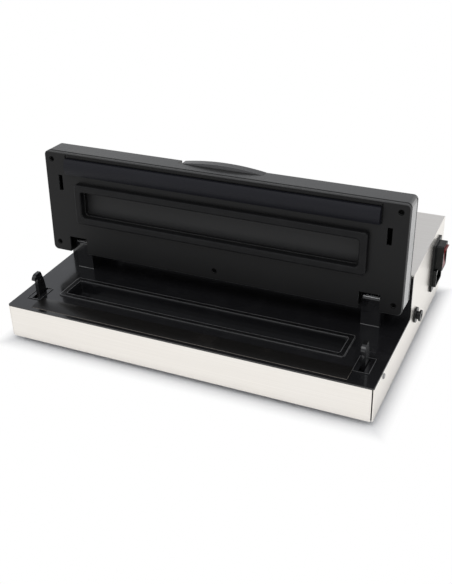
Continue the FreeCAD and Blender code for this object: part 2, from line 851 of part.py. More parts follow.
def make_hook_pivot(label, side):
    body = new_body(label)
    reach = "half_width - pivot_reach"
    outline = [
        ("0", reach),
        ("pivot_radius", reach),
        ("pivot_radius", "half_width"),
        ("pivot_head", "half_width"),
        ("pivot_head", "half_width + pivot_head_thick / 2"),
        ("pivot_head - pivot_head_thick / 2", "half_width + pivot_head_thick"),
        ("0", "half_width + pivot_head_thick"),
    ]
    revolve(body, "XZ", outline, "V_Axis")
    place(body, "0", "pivot_y", "pivot_z", (0, side, 0), "90")


# Hinge brackets on the deck, each with a spring bay between two ears
def make_bracket(label, side):
    body = new_body(label)
    axis_y = from_front("hinge_back")
    fore = f"{axis_y} - bracket_front"
    aft = f"{axis_y} + bracket_rear"
    brow = "hinge_z + bracket_brow"
    diagonal = "ear_radius * sqrt(0.5)"
    outline = [
        (fore, "deck_top"),
        (aft, "deck_top"),
        (aft, "hinge_z - shoulder_drop"),
        (f"{axis_y} + ear_radius", "hinge_z"),
        via(f"{axis_y} + {diagonal}", f"hinge_z + {diagonal}"),
        (axis_y, "hinge_z + ear_radius"),
        (f"{fore} + brow_round", brow),
        via(f"{fore} + brow_round * {CORNER}", f"{brow} - brow_round * {CORNER}"),
        (fore, f"{brow} - brow_round"),
    ]
    half = "bracket_width / 2"
    middle_x = f"{side} * hinge_x"
    add(body, "YZ", f"{middle_x} - {half}", f"{middle_x} + {half}", outline)
    bay = box(f"{fore} + ear_thick", "deck_top + deck_wall", f"{aft} + fit", "hinge_z + ear_radius + fit")
    cut(body, "YZ", f"{middle_x} - {half} + ear_thick", f"{middle_x} + {half} - ear_thick", bay)
    bore = Circle(axis_y, "hinge_z", "pin_radius + running_fit / 5")
    cut(body, "YZ", f"{middle_x} - {half}", f"{middle_x} + {half}", bore)


def make_hinge_pin(label, side):
    body = new_body(label)
    reach = "notch_half + pin_reach"
    ends = [f"{side} * hinge_x - ({reach})", f"{side} * hinge_x + ({reach})"]
    add(body, "YZ", *ends, Circle(from_front("hinge_back"), "hinge_z", "pin_radius"))
    soften(body, "Chamfer", "pin_edge", edges(body, x=ends))


# Torsion springs: one wire along a helix of quarter turns, with a straight leg at each end
def biarc(start, start_way, end, end_way):
    """Two arcs that leave and arrive along the given directions."""
    gap = end - start
    ways = start_way + end_way
    spread = 2 * (1 - start_way.dot(end_way))
    lean = gap.dot(ways)
    if spread < 1e-9:
        reach = gap.dot(gap) / (4 * gap.dot(end_way))
    else:
        reach = (math.sqrt(lean * lean + spread * gap.dot(gap)) - lean) / spread
    joint = (start + end + (start_way - end_way) * reach) * 0.5
    arcs = []
    for here, way, there in ((start, start_way, joint), (end, end_way * -1, joint)):
        chord = there - here
        bulge = (way * chord.Length + chord).normalize()
        cosine = way.dot(chord) / chord.Length
        half = chord.Length / (2 * math.sqrt((1 + cosine) / 2))
        arcs.append((here, here + bulge * half, there))
    first, second = arcs
    return [Part.Arc(*first).toShape(), Part.Arc(*second[::-1]).toShape()]


def make_spring(label, spot_on_axis, pin, leg_angles):
    wire = number("spring_wire")
    radius = number(pin) + number("fit") + wire
    turns = number("spring_turns") + (leg_angles[1] - leg_angles[0]) / 360
    pitch = number("spring_pitch")
    begin = math.radians(leg_angles[0])
    centre = FreeCAD.Vector(*[number(t) for t in spot_on_axis]) - FreeCAD.Vector(turns * pitch / 2, 0, 0)

    def spot(turn):
        angle = begin + turn * 2 * math.pi
        return centre + FreeCAD.Vector(turn * pitch, radius * math.cos(angle), radius * math.sin(angle))

    def way(turn):
        angle = begin + turn * 2 * math.pi
        speed = 2 * math.pi * radius
        return FreeCAD.Vector(pitch, -speed * math.sin(angle), speed * math.cos(angle)).normalize()

    steps = max(4, round(turns * 4))
    stops = [turns * index / steps for index in range(steps + 1)]
    leg = number("spring_leg")
    path = [Part.LineSegment(spot(0) - way(0) * leg, spot(0)).toShape()]
    for here, there in zip(stops, stops[1:]):
        path += biarc(spot(here), way(here), spot(there), way(there))
    path.append(Part.LineSegment(spot(turns), spot(turns) + way(turns) * leg).toShape())
    rail = Part.Wire(path)
    section = Part.Wire(Part.makeCircle(wire, spot(0) - way(0) * leg, way(0)))
    grain = 36
    dots = [spot(index / grain) for index in range(round(turns * grain) + 1)]
    pairs = ((a, b) for i, a in enumerate(dots) for b in dots[i + grain // 2 :])
    gap = min(a.distanceToPoint(b) for a, b in pairs) - 2 * wire
    print(f"{label}: least gap to itself {gap:.2f} mm")
    return shaped(label, rail.makePipeShell([section], True, False))


# Lid: an inner plate with the seal and pressure bar, and a deep outer cover screwed to it
def lid_place(body):
    place(body, "0", from_front("hinge_back"), "hinge_z", (-1, 0, 0), "lid_open")


def lid_screws(radius):
    rear = lid_y("screw_rear_back")
    corner = "half_width - screw_side"
    spots = [(f"{x} * ({corner})", y) for x in (-1, 1) for y in (lid_y("screw_front_back"), rear)]
    return [Circle(x, y, radius) for x, y in [*spots, ("0", rear)]]


def lid_seal_ring(inset="0"):
    outer = ("-lid_seal_half", lid_y("lid_seal_back"), "lid_seal_half", lid_y("lid_seal_end"))
    grown = [f"{t} {sign} ({inset})" for t, sign in zip(outer, "++--")]
    return rounded(*grown, "seal_radius")


def make_lid_plate():
    body = new_body("lid_plate")
    plate = rounded("-lid_half", "lid_front", "lid_half", "lid_overhang", "lid_radius")
    add(body, "XY", "lid_face", "plate_top", plate)
    soften(body, "Chamfer", "plate_edge", edges(body, z="lid_face"))
    pan = lid_seal_ring("lid_seal_band + trough_rim")
    shell = lid_seal_ring("lid_seal_band + trough_rim - lid_wall")
    add(body, "XY", "plate_top", "lid_face + lid_recess + lid_wall", shell)
    cut(body, "XY", "lid_face", "lid_face + lid_recess", pan)
    cut(body, "XY", "lid_face", "lid_face + seal_root", lid_seal_ring(), lid_seal_ring("lid_seal_band"))
    bed_size = ("bar_half * 2 + bar_end_gap * 2", "heater_width + fit * 2")
    bed = middle("0", lid_y("heater_back"), *bed_size, "bar_end_gap")
    cut(body, "XY", "lid_face", "lid_face + seal_root", bed)
    catch = middle("hook_x", lid_y("lid_slot_back - catch_depth / 2"), "catch_width", "catch_depth")
    step = "hook_catch_rise - lid_gap - slot_clearance"
    block = add(body, "XY", "plate_top", f"lid_face + {step}", catch)
    mirror(body, block)
    slot = middle("hook_x", lid_y("lid_slot_back + lid_slot_depth / 2"), "lid_slot_width", "lid_slot_depth")
    hole = cut(body, "XY", "lid_face - fit", f"lid_face + {step}", slot)
    mirror(body, hole)
    sides = ("hinge_x - notch_half", "hinge_x + notch_half")
    notch = box(sides[0], "-bracket_front - notch_room", sides[1], "lid_overhang + fit")
    recess = cut(body, "XY", "lid_face - fit", "plate_top + fit", notch)
    mirror(body, recess)
    cut(body, "XY", "lid_face - fit", "plate_top + fit", *lid_screws("screw_radius"))
    lid_place(body)


def make_lid_cover():
    body = new_body("lid_cover")
    outline = rounded("-lid_half", "lid_front", "lid_half", "lid_overhang", "lid_radius")
    add(body, "XY", "cover_bottom", "lid_top", outline)
    soften(body, "Fillet", "lid_edge", edges(body, z="lid_top"))
    hollow = rounded(
        "lid_wall - lid_half",
        "lid_front + lid_wall",
        "lid_half - lid_wall",
        "lid_overhang - lid_wall",
        "lid_radius - lid_wall",
    )
    cut(body, "XY", "cover_bottom", "cover_ceiling", hollow)
    add(body, "XY", "plate_top", "cover_ceiling", *lid_screws("boss_radius"))
    tab_right = "tab_left + tab_width"
    room = ("tab_left - lock_travel - fit", f"{tab_right} + fit")
    ends = (f"{room[0]} - lid_wall", f"{room[1]} + lid_wall")
    shelf = box(ends[0], "lid_front + lid_wall", ends[1], "tab_back_wall + lid_wall")
    add(body, "XY", "tab_floor - fit - lid_wall", "cover_ceiling", shelf)
    mouth = box(room[0], "lid_front - fit", room[1], "tab_back_wall")
    cut(body, "XY", "tab_floor - fit", "lid_top", mouth)
    stem_left = "tab_left + (tab_width - tab_stem_width) / 2"
    window = box(
        f"{stem_left} - lock_travel - fit",
        "tab_floor - fit",
        f"{stem_left} + tab_stem_width + fit",
        "tab_floor + tab_stem_thick + fit",
    )
    cut(body, "XZ", "tab_back_wall - fit", "tab_back_wall + lid_wall + fit", window)
    ear_low = "-ear_radius - fit"
    ear = box("lid_overhang - lid_wall", ear_low, "-ear_radius", "cover_ceiling")
    blocks = []
    for side in (-1, 1):
        edge = f"hinge_x + {side} * notch_half"
        far = f"hinge_x + {side} * (notch_half + pin_reach + fit)"
        low, high = (far, edge) if side < 0 else (edge, far)
        blocks.append(add(body, "YZ", low, high, ear))
    mirror(body, *blocks)
    notch = box("hinge_x - notch_half", "cover_bottom - fit", "hinge_x + notch_half", "cover_ceiling")
    gap = cut(body, "XZ", "lid_overhang - lid_wall - fit", "lid_overhang + fit", notch)
    mirror(body, gap)
    bore = Circle("0", "0", "pin_radius + running_fit")
    reach = "notch_half + pin_reach + fit / 2"
    socket = cut(body, "YZ", f"hinge_x - ({reach})", f"hinge_x + {reach}", bore)
    mirror(body, socket)
    lid_place(body)


def make_lid_seal():
    body = new_body("lid_seal")
    face = "lid_face - lid_seal_rise"
    add(body, "XY", face, "lid_face + seal_root", lid_seal_ring(), lid_seal_ring("lid_seal_band"))
    soften(body, "Fillet", "lid_seal_round", edges(body, z=face))
    lid_place(body)


def make_pressure_bar():
    body = new_body("pressure_bar")
    half = "heater_width / 2"
    centre = lid_y("heater_back")
    outline = [
        (f"{centre} - {half}", "lid_face + seal_root"),
        (f"{centre} - {half}", "lid_face - bar_side"),
        via(centre, "lid_face - bar_rise"),
        (f"{centre} + {half}", "lid_face - bar_side"),
        (f"{centre} + {half}", "lid_face + seal_root"),
    ]
    add(body, "YZ", "-bar_half", "bar_half", outline)
    lid_place(body)


# Lid lock: a bowed finger tab in the front edge and a bar whose wedges push the hooks back
def make_lock():
    tab = new_body("lock_tab")
    right = "tab_left + tab_width"
    back = "lid_front + tab_depth"
    outline = [
        ("tab_left", back),
        ("tab_left", "lid_front"),
        via("tab_left + tab_width / 2", "lid_front - tab_bulge"),
        (right, "lid_front"),
        (right, back),
    ]
    add(tab, "XY", "tab_floor", "lid_top - fit", outline)
    stem_left = "tab_left + (tab_width - tab_stem_width) / 2"
    stem = box(stem_left, back, f"{stem_left} + tab_stem_width", "lock_bar_front")
    add(tab, "XY", "tab_floor", "tab_floor + tab_stem_thick", stem)
    soften(tab, "Fillet", "lid_edge / 2", edges(tab, z="lid_top - fit"))
    lid_place(tab)
    bar = new_body("lock_bar")
    near = "lock_bar_front"
    end = "hook_x + hook_thick / 2 + wedge_gap + wedge_width"
    low = "tab_floor + tab_stem_thick - lock_bar_thick"
    start = "-hook_x + hook_thick / 2 + wedge_gap"
    strip = box(start, near, end, f"{near} + lock_bar_depth")
    add(bar, "XY", low, "tab_floor + tab_stem_thick", strip)
    base = lid_y("hook_neck_back - hook_nose - wedge_gap")
    foot = "lid_face + hook_catch_rise - lid_gap + wedge_gap"
    for side in (-1, 1):
        inner = f"{side} * hook_x + hook_thick / 2 + wedge_gap"
        outer = f"{inner} + wedge_width"
        wedge = [
            (inner, near),
            (outer, near),
            (outer, f"{base} + wedge_push"),
            (f"{outer} - wedge_gap", f"{base} + wedge_push"),
            (inner, base),
        ]
        add(bar, "XY", foot, low, wedge)
    lid_place(bar)


# Mains inlet and rocker switch in one flanged module on the right side
def make_inlet():
    body = new_body("inlet_module")
    flange = middle("inlet_y", "inlet_z", "inlet_width", "inlet_height", "bend_radius")
    face = "half_width + inlet_flange"
    add(body, "YZ", "half_width", face, flange)
    core = middle("inlet_y", "inlet_z", "inlet_body_width", "inlet_body_height")
    add(body, "YZ", "half_width - inlet_body_depth", "half_width", core)
    wall = "socket_wall * 2"
    lip = middle("inlet_y", "socket_z", f"socket_width + {wall}", f"socket_height + {wall}", "bend_radius")
    add(body, "YZ", face, f"{face} + socket_collar", lip)
    room = ("rocker_width + rocker_gap * 2", "rocker_height + rocker_gap * 4")
    wall = "rocker_frame_wall * 2"
    frame = middle("inlet_y", "rocker_z", f"{room[0]} + {wall}", f"{room[1]} + {wall}", "bend_radius")
    add(body, "YZ", face, f"{face} + rocker_frame", frame)
    window = middle("inlet_y", "rocker_z", *room)
    cut(body, "YZ", "half_width - rocker_crown", f"{face} + rocker_frame", window)
    reach = "rocker_width / 2 + rocker_gap + trunnion_reach + fit"
    bearing = Circle("half_width + rocker_pivot", "rocker_z", "trunnion_radius + running_fit")
    cut(body, "XZ", f"inlet_y - ({reach})", f"inlet_y + {reach}", bearing)
    half = ("socket_width / 2", "socket_height / 2")
    nip = "socket_nip"
    socket = [
        (f"inlet_y - {half[0]}", f"socket_z - {half[1]}"),
        (f"inlet_y + {half[0]}", f"socket_z - {half[1]}"),
        (f"inlet_y + {half[0]}", f"socket_z + {half[1]} - {nip}"),
        (f"inlet_y + {half[0]} - {nip}", f"socket_z + {half[1]}"),
        (f"inlet_y - {half[0]} + {nip}", f"socket_z + {half[1]}"),
        (f"inlet_y - {half[0]}", f"socket_z + {half[1]} - {nip}"),
    ]
    mouth = f"{face} + socket_collar"
    cut(body, "YZ", f"{mouth} - socket_depth", mouth, socket)


def make_inlet_pin(label, shift, lift):
    body = new_body(label)
    foot = "half_width + inlet_flange + socket_collar - socket_depth"
    spot = (f"inlet_y + {shift} * pin_pitch", f"socket_z + ({lift}) * pin_step / 2")
    blade = middle(*spot, "pin_thick", "pin_width")
    add(body, "YZ", foot, f"{foot} + pin_length", blade)


def make_rocker():
    body = new_body("power_rocker")
    half = "rocker_height / 2"
    outline = [
        ("0", f"-({half})"),
        ("rocker_crown", f"-({half})"),
        via("rocker_crown - rocker_dip", "0"),
        ("rocker_crown", half),
        ("0", half),
        via("-rocker_pivot * 2", "0"),
    ]
    wide = "rocker_width / 2"
    add(body, "XZ", f"-({wide})", wide, outline)
    reach = f"{wide} + rocker_gap + trunnion_reach"
    add(body, "XZ", f"-({reach})", reach, Circle("0", "0", "trunnion_radius"))
    place(body, "half_width + rocker_pivot", "inlet_y", "rocker_z", (0, 1, 0), "rocker_tilt")


# Accessory hose port: flange, neck and lip on the right side, with a nipple inside
def make_spigot():
    body = new_body("accessory_port")
    inside = "-sheet - spigot_depth"
    nipple_end = f"{inside} - nipple_length"
    neck_end = "spigot_flange + spigot_neck"
    outline = [
        ("nipple_bore", nipple_end),
        ("hose_bore", nipple_end),
        ("hose_bore", inside),
        ("spigot_neck_radius", inside),
        ("spigot_neck_radius", "0"),
        ("spigot_flange_radius", "0"),
        ("spigot_flange_radius", "spigot_flange"),
        ("spigot_neck_radius", "spigot_flange"),
        ("spigot_neck_radius", neck_end),
        ("spigot_lip_radius", neck_end),
        ("spigot_lip_radius", f"{neck_end} + spigot_lip"),
        ("spigot_bore", f"{neck_end} + spigot_lip"),
        ("spigot_bore", f"{inside} + sheet"),
        ("nipple_bore", f"{inside} + sheet"),
    ]
    revolve(body, "XZ", outline, "V_Axis")
    place(body, "half_width", "spigot_y", "spigot_z", (0, 1, 0), "90")


# Control panel set in the sloping top, with push buttons, lamps and the board under it
def panel_place(body):
    place(body, "0", "panel_y", "panel_z", (1, 0, 0), "housing_slope")


def button_loop(index, gap="0"):
    size = (f"button_width + 2 * ({gap})", f"button_depth + 2 * ({gap})")
    return middle(f"{index} * button_pitch", "-button_shift", *size, f"button_radius + ({gap})")


def make_panel():
    body = new_body("control_panel")
    add(body, "XY", "0", "panel_thick", middle("0", "0", "panel_width", "panel_depth", "panel_radius"))
    soften(body, "Fillet", "panel_edge", edges(body, z="panel_thick"))
    inset = "panel_skirt + fit * 2"
    rim = middle("0", "0", f"panel_width - ({inset})", f"panel_depth - ({inset})", "panel_radius - fit")
    hollow = f"{inset} + panel_thick * 2"
    inner = (f"panel_width - ({hollow})", f"panel_depth - ({hollow})")
    room = middle("0", "0", *inner, "panel_radius - panel_thick")
    add(body, "XY", "-panel_skirt", "0", rim, room)
    corner = ("panel_width / 2 - post_inset", "panel_depth / 2 - post_inset")
    posts = [
        Circle(f"{x} * ({corner[0]})", f"{y} * ({corner[1]})", "post_radius")
        for x in (-1, 1)
        for y in (-1, 1)
    ]
    add(body, "XY", "-board_drop", "0", *posts)
    buttons = [button_loop(index, "fit") for index in (-1, 0, 1)]
    lamps = [Circle(f"{index} * button_pitch", "lens_shift", "lens_radius") for index in (-1, 0, 1)]
    cut(body, "XY", "-fit", "panel_thick + fit", *buttons, *lamps)
    panel_place(body)


def make_button(label, index):
    body = new_body(label)
    top = "panel_thick + button_rise"
    add(body, "XY", "-fit", top, button_loop(index))
    soften(body, "Fillet", "button_edge", edges(body, z=top))
    stem = Circle(f"{index} * button_pitch", "-button_shift", "post_radius")
    add(body, "XY", "button_travel + fit - board_drop", "-fit", stem)
    panel_place(body)


def make_lens(label, index):
    body = new_body(label)
    lamp = Circle(f"{index} * button_pitch", "lens_shift", "lens_radius")
    add(body, "XY", "-board_drop", "panel_thick + fit", lamp)
    panel_place(body)


def make_board():
    body = new_body("control_board")
    plate = middle("0", "0", "panel_width - post_inset", "panel_depth - post_inset", "bend_radius")
    add(body, "XY", "-board_drop - board_thick", "-board_drop", plate)
    panel_place(body)


# Vacuum pump: diaphragm head with two nipples on its front, and its motor on a saddle
def make_pump():
    head = new_body("pump_head")
    far = "pump_front + pump_depth"
    foot = middle("pump_x + pump_width / 2", "motor_y", "pump_width", "pump_depth", "pump_round")
    add(head, "XY", "pan_top", "pan_top + pump_height", foot)
    gap = box("pump_x", f"{far} - fin_depth", "pump_x + pump_width", far)
    for index in range(round(number("fin_count"))):
        level = f"pan_top + fin_lift + {index} * fin_pitch"
        cut(head, "XY", level, f"{level} + fin_gap", gap)
    for x, z in (("port_x", "hose_z"), ("-half_width + spigot_hose_inset", "spigot_z")):
        add(head, "XZ", "pump_front - nipple_length", "pump_front", Circle(x, z, "hose_bore"))
    motor = new_body("pump_motor")
    start = "pump_x + pump_width"
    end = f"{start} + motor_length"
    add(motor, "YZ", start, end, Circle("motor_y", "motor_z", "motor_radius"))
    soften(motor, "Fillet", "motor_round", edges(motor, x=end))
    add(motor, "YZ", end, f"{end} + bearing_length", Circle("motor_y", "motor_z", "bearing_radius"))
    saddle = middle(f"{start} + motor_length / 2", "motor_y", "saddle_length", "saddle_width")
    add(motor, "XY", "pan_top", "pan_top + saddle_height", saddle)


# Transformer: a laminated core with two windows and the winding on its middle limb
def make_transformer():
    core = new_body("transformer_core")
    low = "half_width - core_inset - core_width"
    high = "half_width - core_inset"
    y = (from_front("core_back"), from_front("core_back + core_depth"))
    top = "pan_top + core_height"
    add(core, "XZ", *y, box(low, "pan_top", high, top))
    limb = "core_limb"
    middle_x = "half_width - core_inset - core_width / 2"
    floor = f"pan_top + {limb}"
    left = box(f"{low} + {limb}", floor, f"{middle_x} - {limb}", f"{top} - {limb}")
    right = box(f"{middle_x} + {limb}", floor, f"{high} - {limb}", f"{top} - {limb}")
    cut(core, "XZ", *y, left, right)
    winding = new_body("transformer_winding")
    outer = rounded(
        f"{low} + {limb} + fit",
        f"{y[0]} - coil_swell",
        f"{high} - {limb} - fit",
        f"{y[1]} + coil_swell",
        "coil_round",
    )
    inner = box(f"{middle_x} - {limb}", y[0], f"{middle_x} + {limb}", y[1])
    add(winding, "XY", f"{floor} + fit", f"{top} - {limb} - fit", outer, inner)


# Hoses: one bend each, from the trough and from the side port to the pump
def hose(label, start, corner, end):
    """A tube along two runs joined by the widest arc that leaves the nipples in its straight ends."""
    runs = [start - corner, end - corner]
    radius = min(run.Length for run in runs) - number("nipple_length + fit")
    here, there = [corner + run.normalize() * radius for run in runs]
    inward = (here - corner) + (there - corner)
    centre = corner + inward
    knee = centre - inward.normalize() * radius
    path = [
        Part.LineSegment(start, here).toShape(),
        Part.Arc(here, knee, there).toShape(),
        Part.LineSegment(there, end).toShape(),
    ]
    rail = Part.Wire(path)
    tubes = []
    for size in (number("hose_radius"), number("hose_bore") + number("running_fit")):
        section = Part.Wire(Part.makeCircle(size, start, here - start))
        tubes.append(rail.makePipeShell([section], True, False))
    return shaped(label, tubes[0].cut(tubes[1]))


def make_hoses():
    port = FreeCAD.Vector(number("port_x"), number(from_front("port_back")), 0)
    low = number("hose_z")
    top = FreeCAD.Vector(port.x, port.y, number("trough_floor - deck_wall"))
    bend = FreeCAD.Vector(port.x, port.y, low)
    hose("trough_hose", top, bend, FreeCAD.Vector(port.x, number("pump_front"), low))
    y, z = number("spigot_y"), number("spigot_z")
    start = FreeCAD.Vector(number("half_width - sheet - spigot_depth"), y, z)
    bend = FreeCAD.Vector(number("-half_width + spigot_hose_inset"), y, z)
    hose("spigot_hose", start, bend, FreeCAD.Vector(bend.x, number("pump_front"), z))


make_casing()
make_apron()
make_pan()
for index, (x, y) in enumerate([(-1, -1), (1, -1), (-1, 1), (1, 1)], 1):
    make_foot(f"foot_{index}", x, y)
make_deck()
make_deck_seal()
make_heater()
for label, side in (("left", -1), ("right", 1)):
    make_side(f"side_{label}", side)
    make_hook(f"hook_{label}", side)
    make_hook_pivot(f"hook_pivot_{label}", side)
    make_bracket(f"hinge_bracket_{label}", side)
    make_hinge_pin(f"hinge_pin_{label}", side)
    hinge = (f"{side} * hinge_x", from_front("hinge_back"), "hinge_z")
    make_spring(f"hinge_spring_{label}", hinge, "pin_radius", (0, 0))
    pivot = (f"{side} * hook_spring_x", "pivot_y", "pivot_z")
    make_spring(f"hook_spring_{label}", pivot, "pivot_radius", (0, 180))
make_hook_bar()
make_lid_plate()
make_lid_cover()
make_lid_seal()
make_pressure_bar()
make_lock()
make_inlet()
for label, shift, lift in (("line", -1, "-1"), ("neutral", 1, "-1"), ("earth", 0, "1")):
    make_inlet_pin(f"inlet_pin_{label}", shift, lift)
make_rocker()
make_spigot()
make_panel()
for label, index in (("vacuum", -1), ("seal", 0), ("stop", 1)):
    make_button(f"button_{label}", index)
    make_lens(f"lamp_{label}", index)
make_board()
make_pump()
make_transformer()
make_hoses()

doc.recompute()
for made in doc.Objects:
    if {"Invalid", "Error"} & set(made.State):
        raise ValueError(f"{made.Label} failed: {made.State}")
os.makedirs("parts", exist_ok=True)
for node in NODES:
    shape = node.Shape
    if shape.isNull() or not shape.isValid() or len(shape.Solids) != 1:
        raise ValueError(f"{node.Label} is not one sound solid")
for node in NODES:
    node.Shape.exportStep(f"parts/{node.Label}.step")
print(f"{len(NODES)} sub-parts written")
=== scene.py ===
import bmesh
import bpy
import json
import math
from mathutils import Matrix, Vector


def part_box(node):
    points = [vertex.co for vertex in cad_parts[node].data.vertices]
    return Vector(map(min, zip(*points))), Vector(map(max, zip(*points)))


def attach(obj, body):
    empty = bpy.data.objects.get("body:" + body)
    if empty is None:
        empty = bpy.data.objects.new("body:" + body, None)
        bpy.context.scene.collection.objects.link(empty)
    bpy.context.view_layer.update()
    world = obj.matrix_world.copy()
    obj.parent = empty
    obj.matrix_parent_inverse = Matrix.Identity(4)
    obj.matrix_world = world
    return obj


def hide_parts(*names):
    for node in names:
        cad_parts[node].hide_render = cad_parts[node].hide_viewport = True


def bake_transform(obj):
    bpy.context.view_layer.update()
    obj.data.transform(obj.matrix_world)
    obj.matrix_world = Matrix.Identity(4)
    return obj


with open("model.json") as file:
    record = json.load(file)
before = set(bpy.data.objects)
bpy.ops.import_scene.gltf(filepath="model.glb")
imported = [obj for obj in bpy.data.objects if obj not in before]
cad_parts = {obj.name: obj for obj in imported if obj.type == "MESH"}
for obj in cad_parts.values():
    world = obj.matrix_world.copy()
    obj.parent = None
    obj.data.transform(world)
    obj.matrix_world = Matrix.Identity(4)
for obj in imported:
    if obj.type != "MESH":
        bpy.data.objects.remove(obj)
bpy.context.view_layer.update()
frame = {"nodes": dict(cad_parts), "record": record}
nodes = frame["nodes"]
record = frame["record"]

SIDEWAYS = Vector((1, 0, 0))
BACKWARDS = Vector((0, 1, 0))
UPWARDS = Vector((0, 0, 1))

# Lid: rises and depths are those of the closed lid, seen from its hinge
LID_OPEN = math.radians(92.755)
LID_TURN = Matrix.Rotation(-LID_OPEN, 4, "X")
LID_SPIN = LID_TURN.to_3x3()
HINGE = Vector((0, -0.0210, 0.0721))
HINGE_BACK = 0.1115
LID_FACE = -0.020
FRONT_BAND = 0.0031 - HINGE_BACK
LID_OUTER = 0.0093
LID_END = 0.1975
TAB_INNER = -0.0011
# Painted highlight round the edge of the lid plate's face: the rises it spans
RIM_HIGHLIGHT_RISES = (LID_FACE + 0.00005, LID_FACE + 0.0009)
PLATE_TOP = LID_FACE + 0.0032
RECESS_WALL = LID_FACE + 0.0045
# Top of the painted shadow along the lid shell's parting line
SEAM_SHADOW_TOP = LID_FACE + 0.0052
END_LINE = (LID_OUTER - 0.0058, LID_OUTER - 0.0034)
COVER_COLOUR = (0.010, 0.0098, 0.0093)
BAR_TRIM = 0.0032
BAR_LINE = 0.0009
BAR_ROOT = 0.0015

# Screws: radius and height of a head, and where the heads sit
LID_SCREW = (0.0021, 0.0014)
LID_SCREW_SINK = 0.0022
LID_SCREW_X = 0.19
LID_SCREW_BACKS = (0.0107, 0.1072)
# Flat black rings of painted shade round the lid's screw holes: outer and inner radius, then thickness
HOLE_SHADE_RADII = (0.0029, 0.0022)
HOLE_SHADE_LIFT = 0.00012
PAN_SCREW = (0.003, 0.0018)
PAN_SCREW_SPOTS = [(x, y, 0.006) for x in (-0.186, 0, 0.186) for y in (-0.118, 0.118)]
SCREW_SIDES = 20
SCREW_CROWN = 0.72
CROSS_LONG = 1.05
CROSS_WIDE = 0.26
CROSS_DEEP = 0.6

# Deck
DECK_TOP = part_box("hinge_bracket_left")[0].z
SLOT_CENTRE = (0.181, -0.1001, DECK_TOP + 0.0006)
SLOT_LIP = (0.0081, 0.0131)
SLOT_HOLE = (0.0069, 0.0119)
# Painted highlight strips round the hook slots: width and thickness
EDGE_WIDE = 0.0004
EDGE_THICK = 0.0001
GUIDE_GAP = 0.0027
GUIDE_DROP = 0.0004
GUIDE_THICK = 0.0015
# Painted highlight strips on the hinge brackets: height above the hinge, depth, inset and thickness
BROW_RISE = 0.0035
BROW_DEPTH = 0.0035
BROW_INSET = 0.001
BROW_SHEET = 0.0004
# Painted highlight loops on the trough's seal: inset and corner radius of each, then width and lift
SHINE_LOOPS = ((0.0008, 0.0028), (0.0058, 0.0028))
SHINE_WIDTH = 0.0004
SHINE_RISE = 0.00005
WELD_REACH = 1e-6

# Control panel
PANEL = Vector((0, 0.0735, 0.09571))
PANEL_TILT = math.radians(2.2236)
BUTTON_PITCH = 0.038
BUTTON_Y = -0.006
BUTTON_TOP = 0.0038
SIGN_DEPTH = 0.0001

# Floor, light and camera
FLOOR_REACH = 9.0
FLOOR_FADE = 0.02
FLOOR_Z = -0.0002
# Lamps: where each stands, what it aims at, its width, height and power
LAMPS = {
    "key": ((0.2, -0.9, 1.6), (0, 0, 0.05), 1.4, 1.0, 10),
    "right": ((1.2, 0.9, 0.6), (0.1, 0.05, 0.08), 2.8, 2.0, 7),
    "left": ((-1.4, -0.5, 0.9), (0, 0, 0.08), 1.0, 1.0, 4),
}
# Sky colours by height: the ramp's two ends, then a stop between them
SKY = ((0.05, (1, 1, 1, 1)), (0.95, (0.52, 0.53, 0.56, 1)), (0.42, (0.58, 0.595, 0.625, 1)))
SKY_LIGHT = 0.75
# Camera: azimuth, elevation and roll in degrees, and its focal length in pixels of the photograph
CAMERA_PLACE = (0.35789, -0.76668, 0.52222)
CAMERA_ANGLES = (25.42, 30.18, -1.97)
FOCAL_PIXELS = 888.26
PHOTO_HEIGHT = 584
SENSOR = 36.0


# Shader maths
class Wire:
    """A socket with the arithmetic that the finishes use."""

    def __init__(self, look, socket):
        self.look = look
        self.socket = socket

    def _maths(self, operation, *values):
        return self.look.node("Math", {"operation": operation}, *values)

    def __add__(self, other):
        return self._maths("ADD", self, other)

    def __radd__(self, other):
        return self._maths("ADD", other, self)

    def __sub__(self, other):
        return self._maths("SUBTRACT", self, other)

    def __rsub__(self, other):
        return self._maths("SUBTRACT", other, self)

    def __mul__(self, other):
        return self._maths("MULTIPLY", self, other)

    def over(self, edge, width):
        """0 below the edge, 1 above it, soft over the width."""
        settings = {"interpolation_type": "SMOOTHSTEP"}
        return self.look.node("MapRange", settings, self, edge - width / 2, edge + width / 2, 0.0, 1.0)


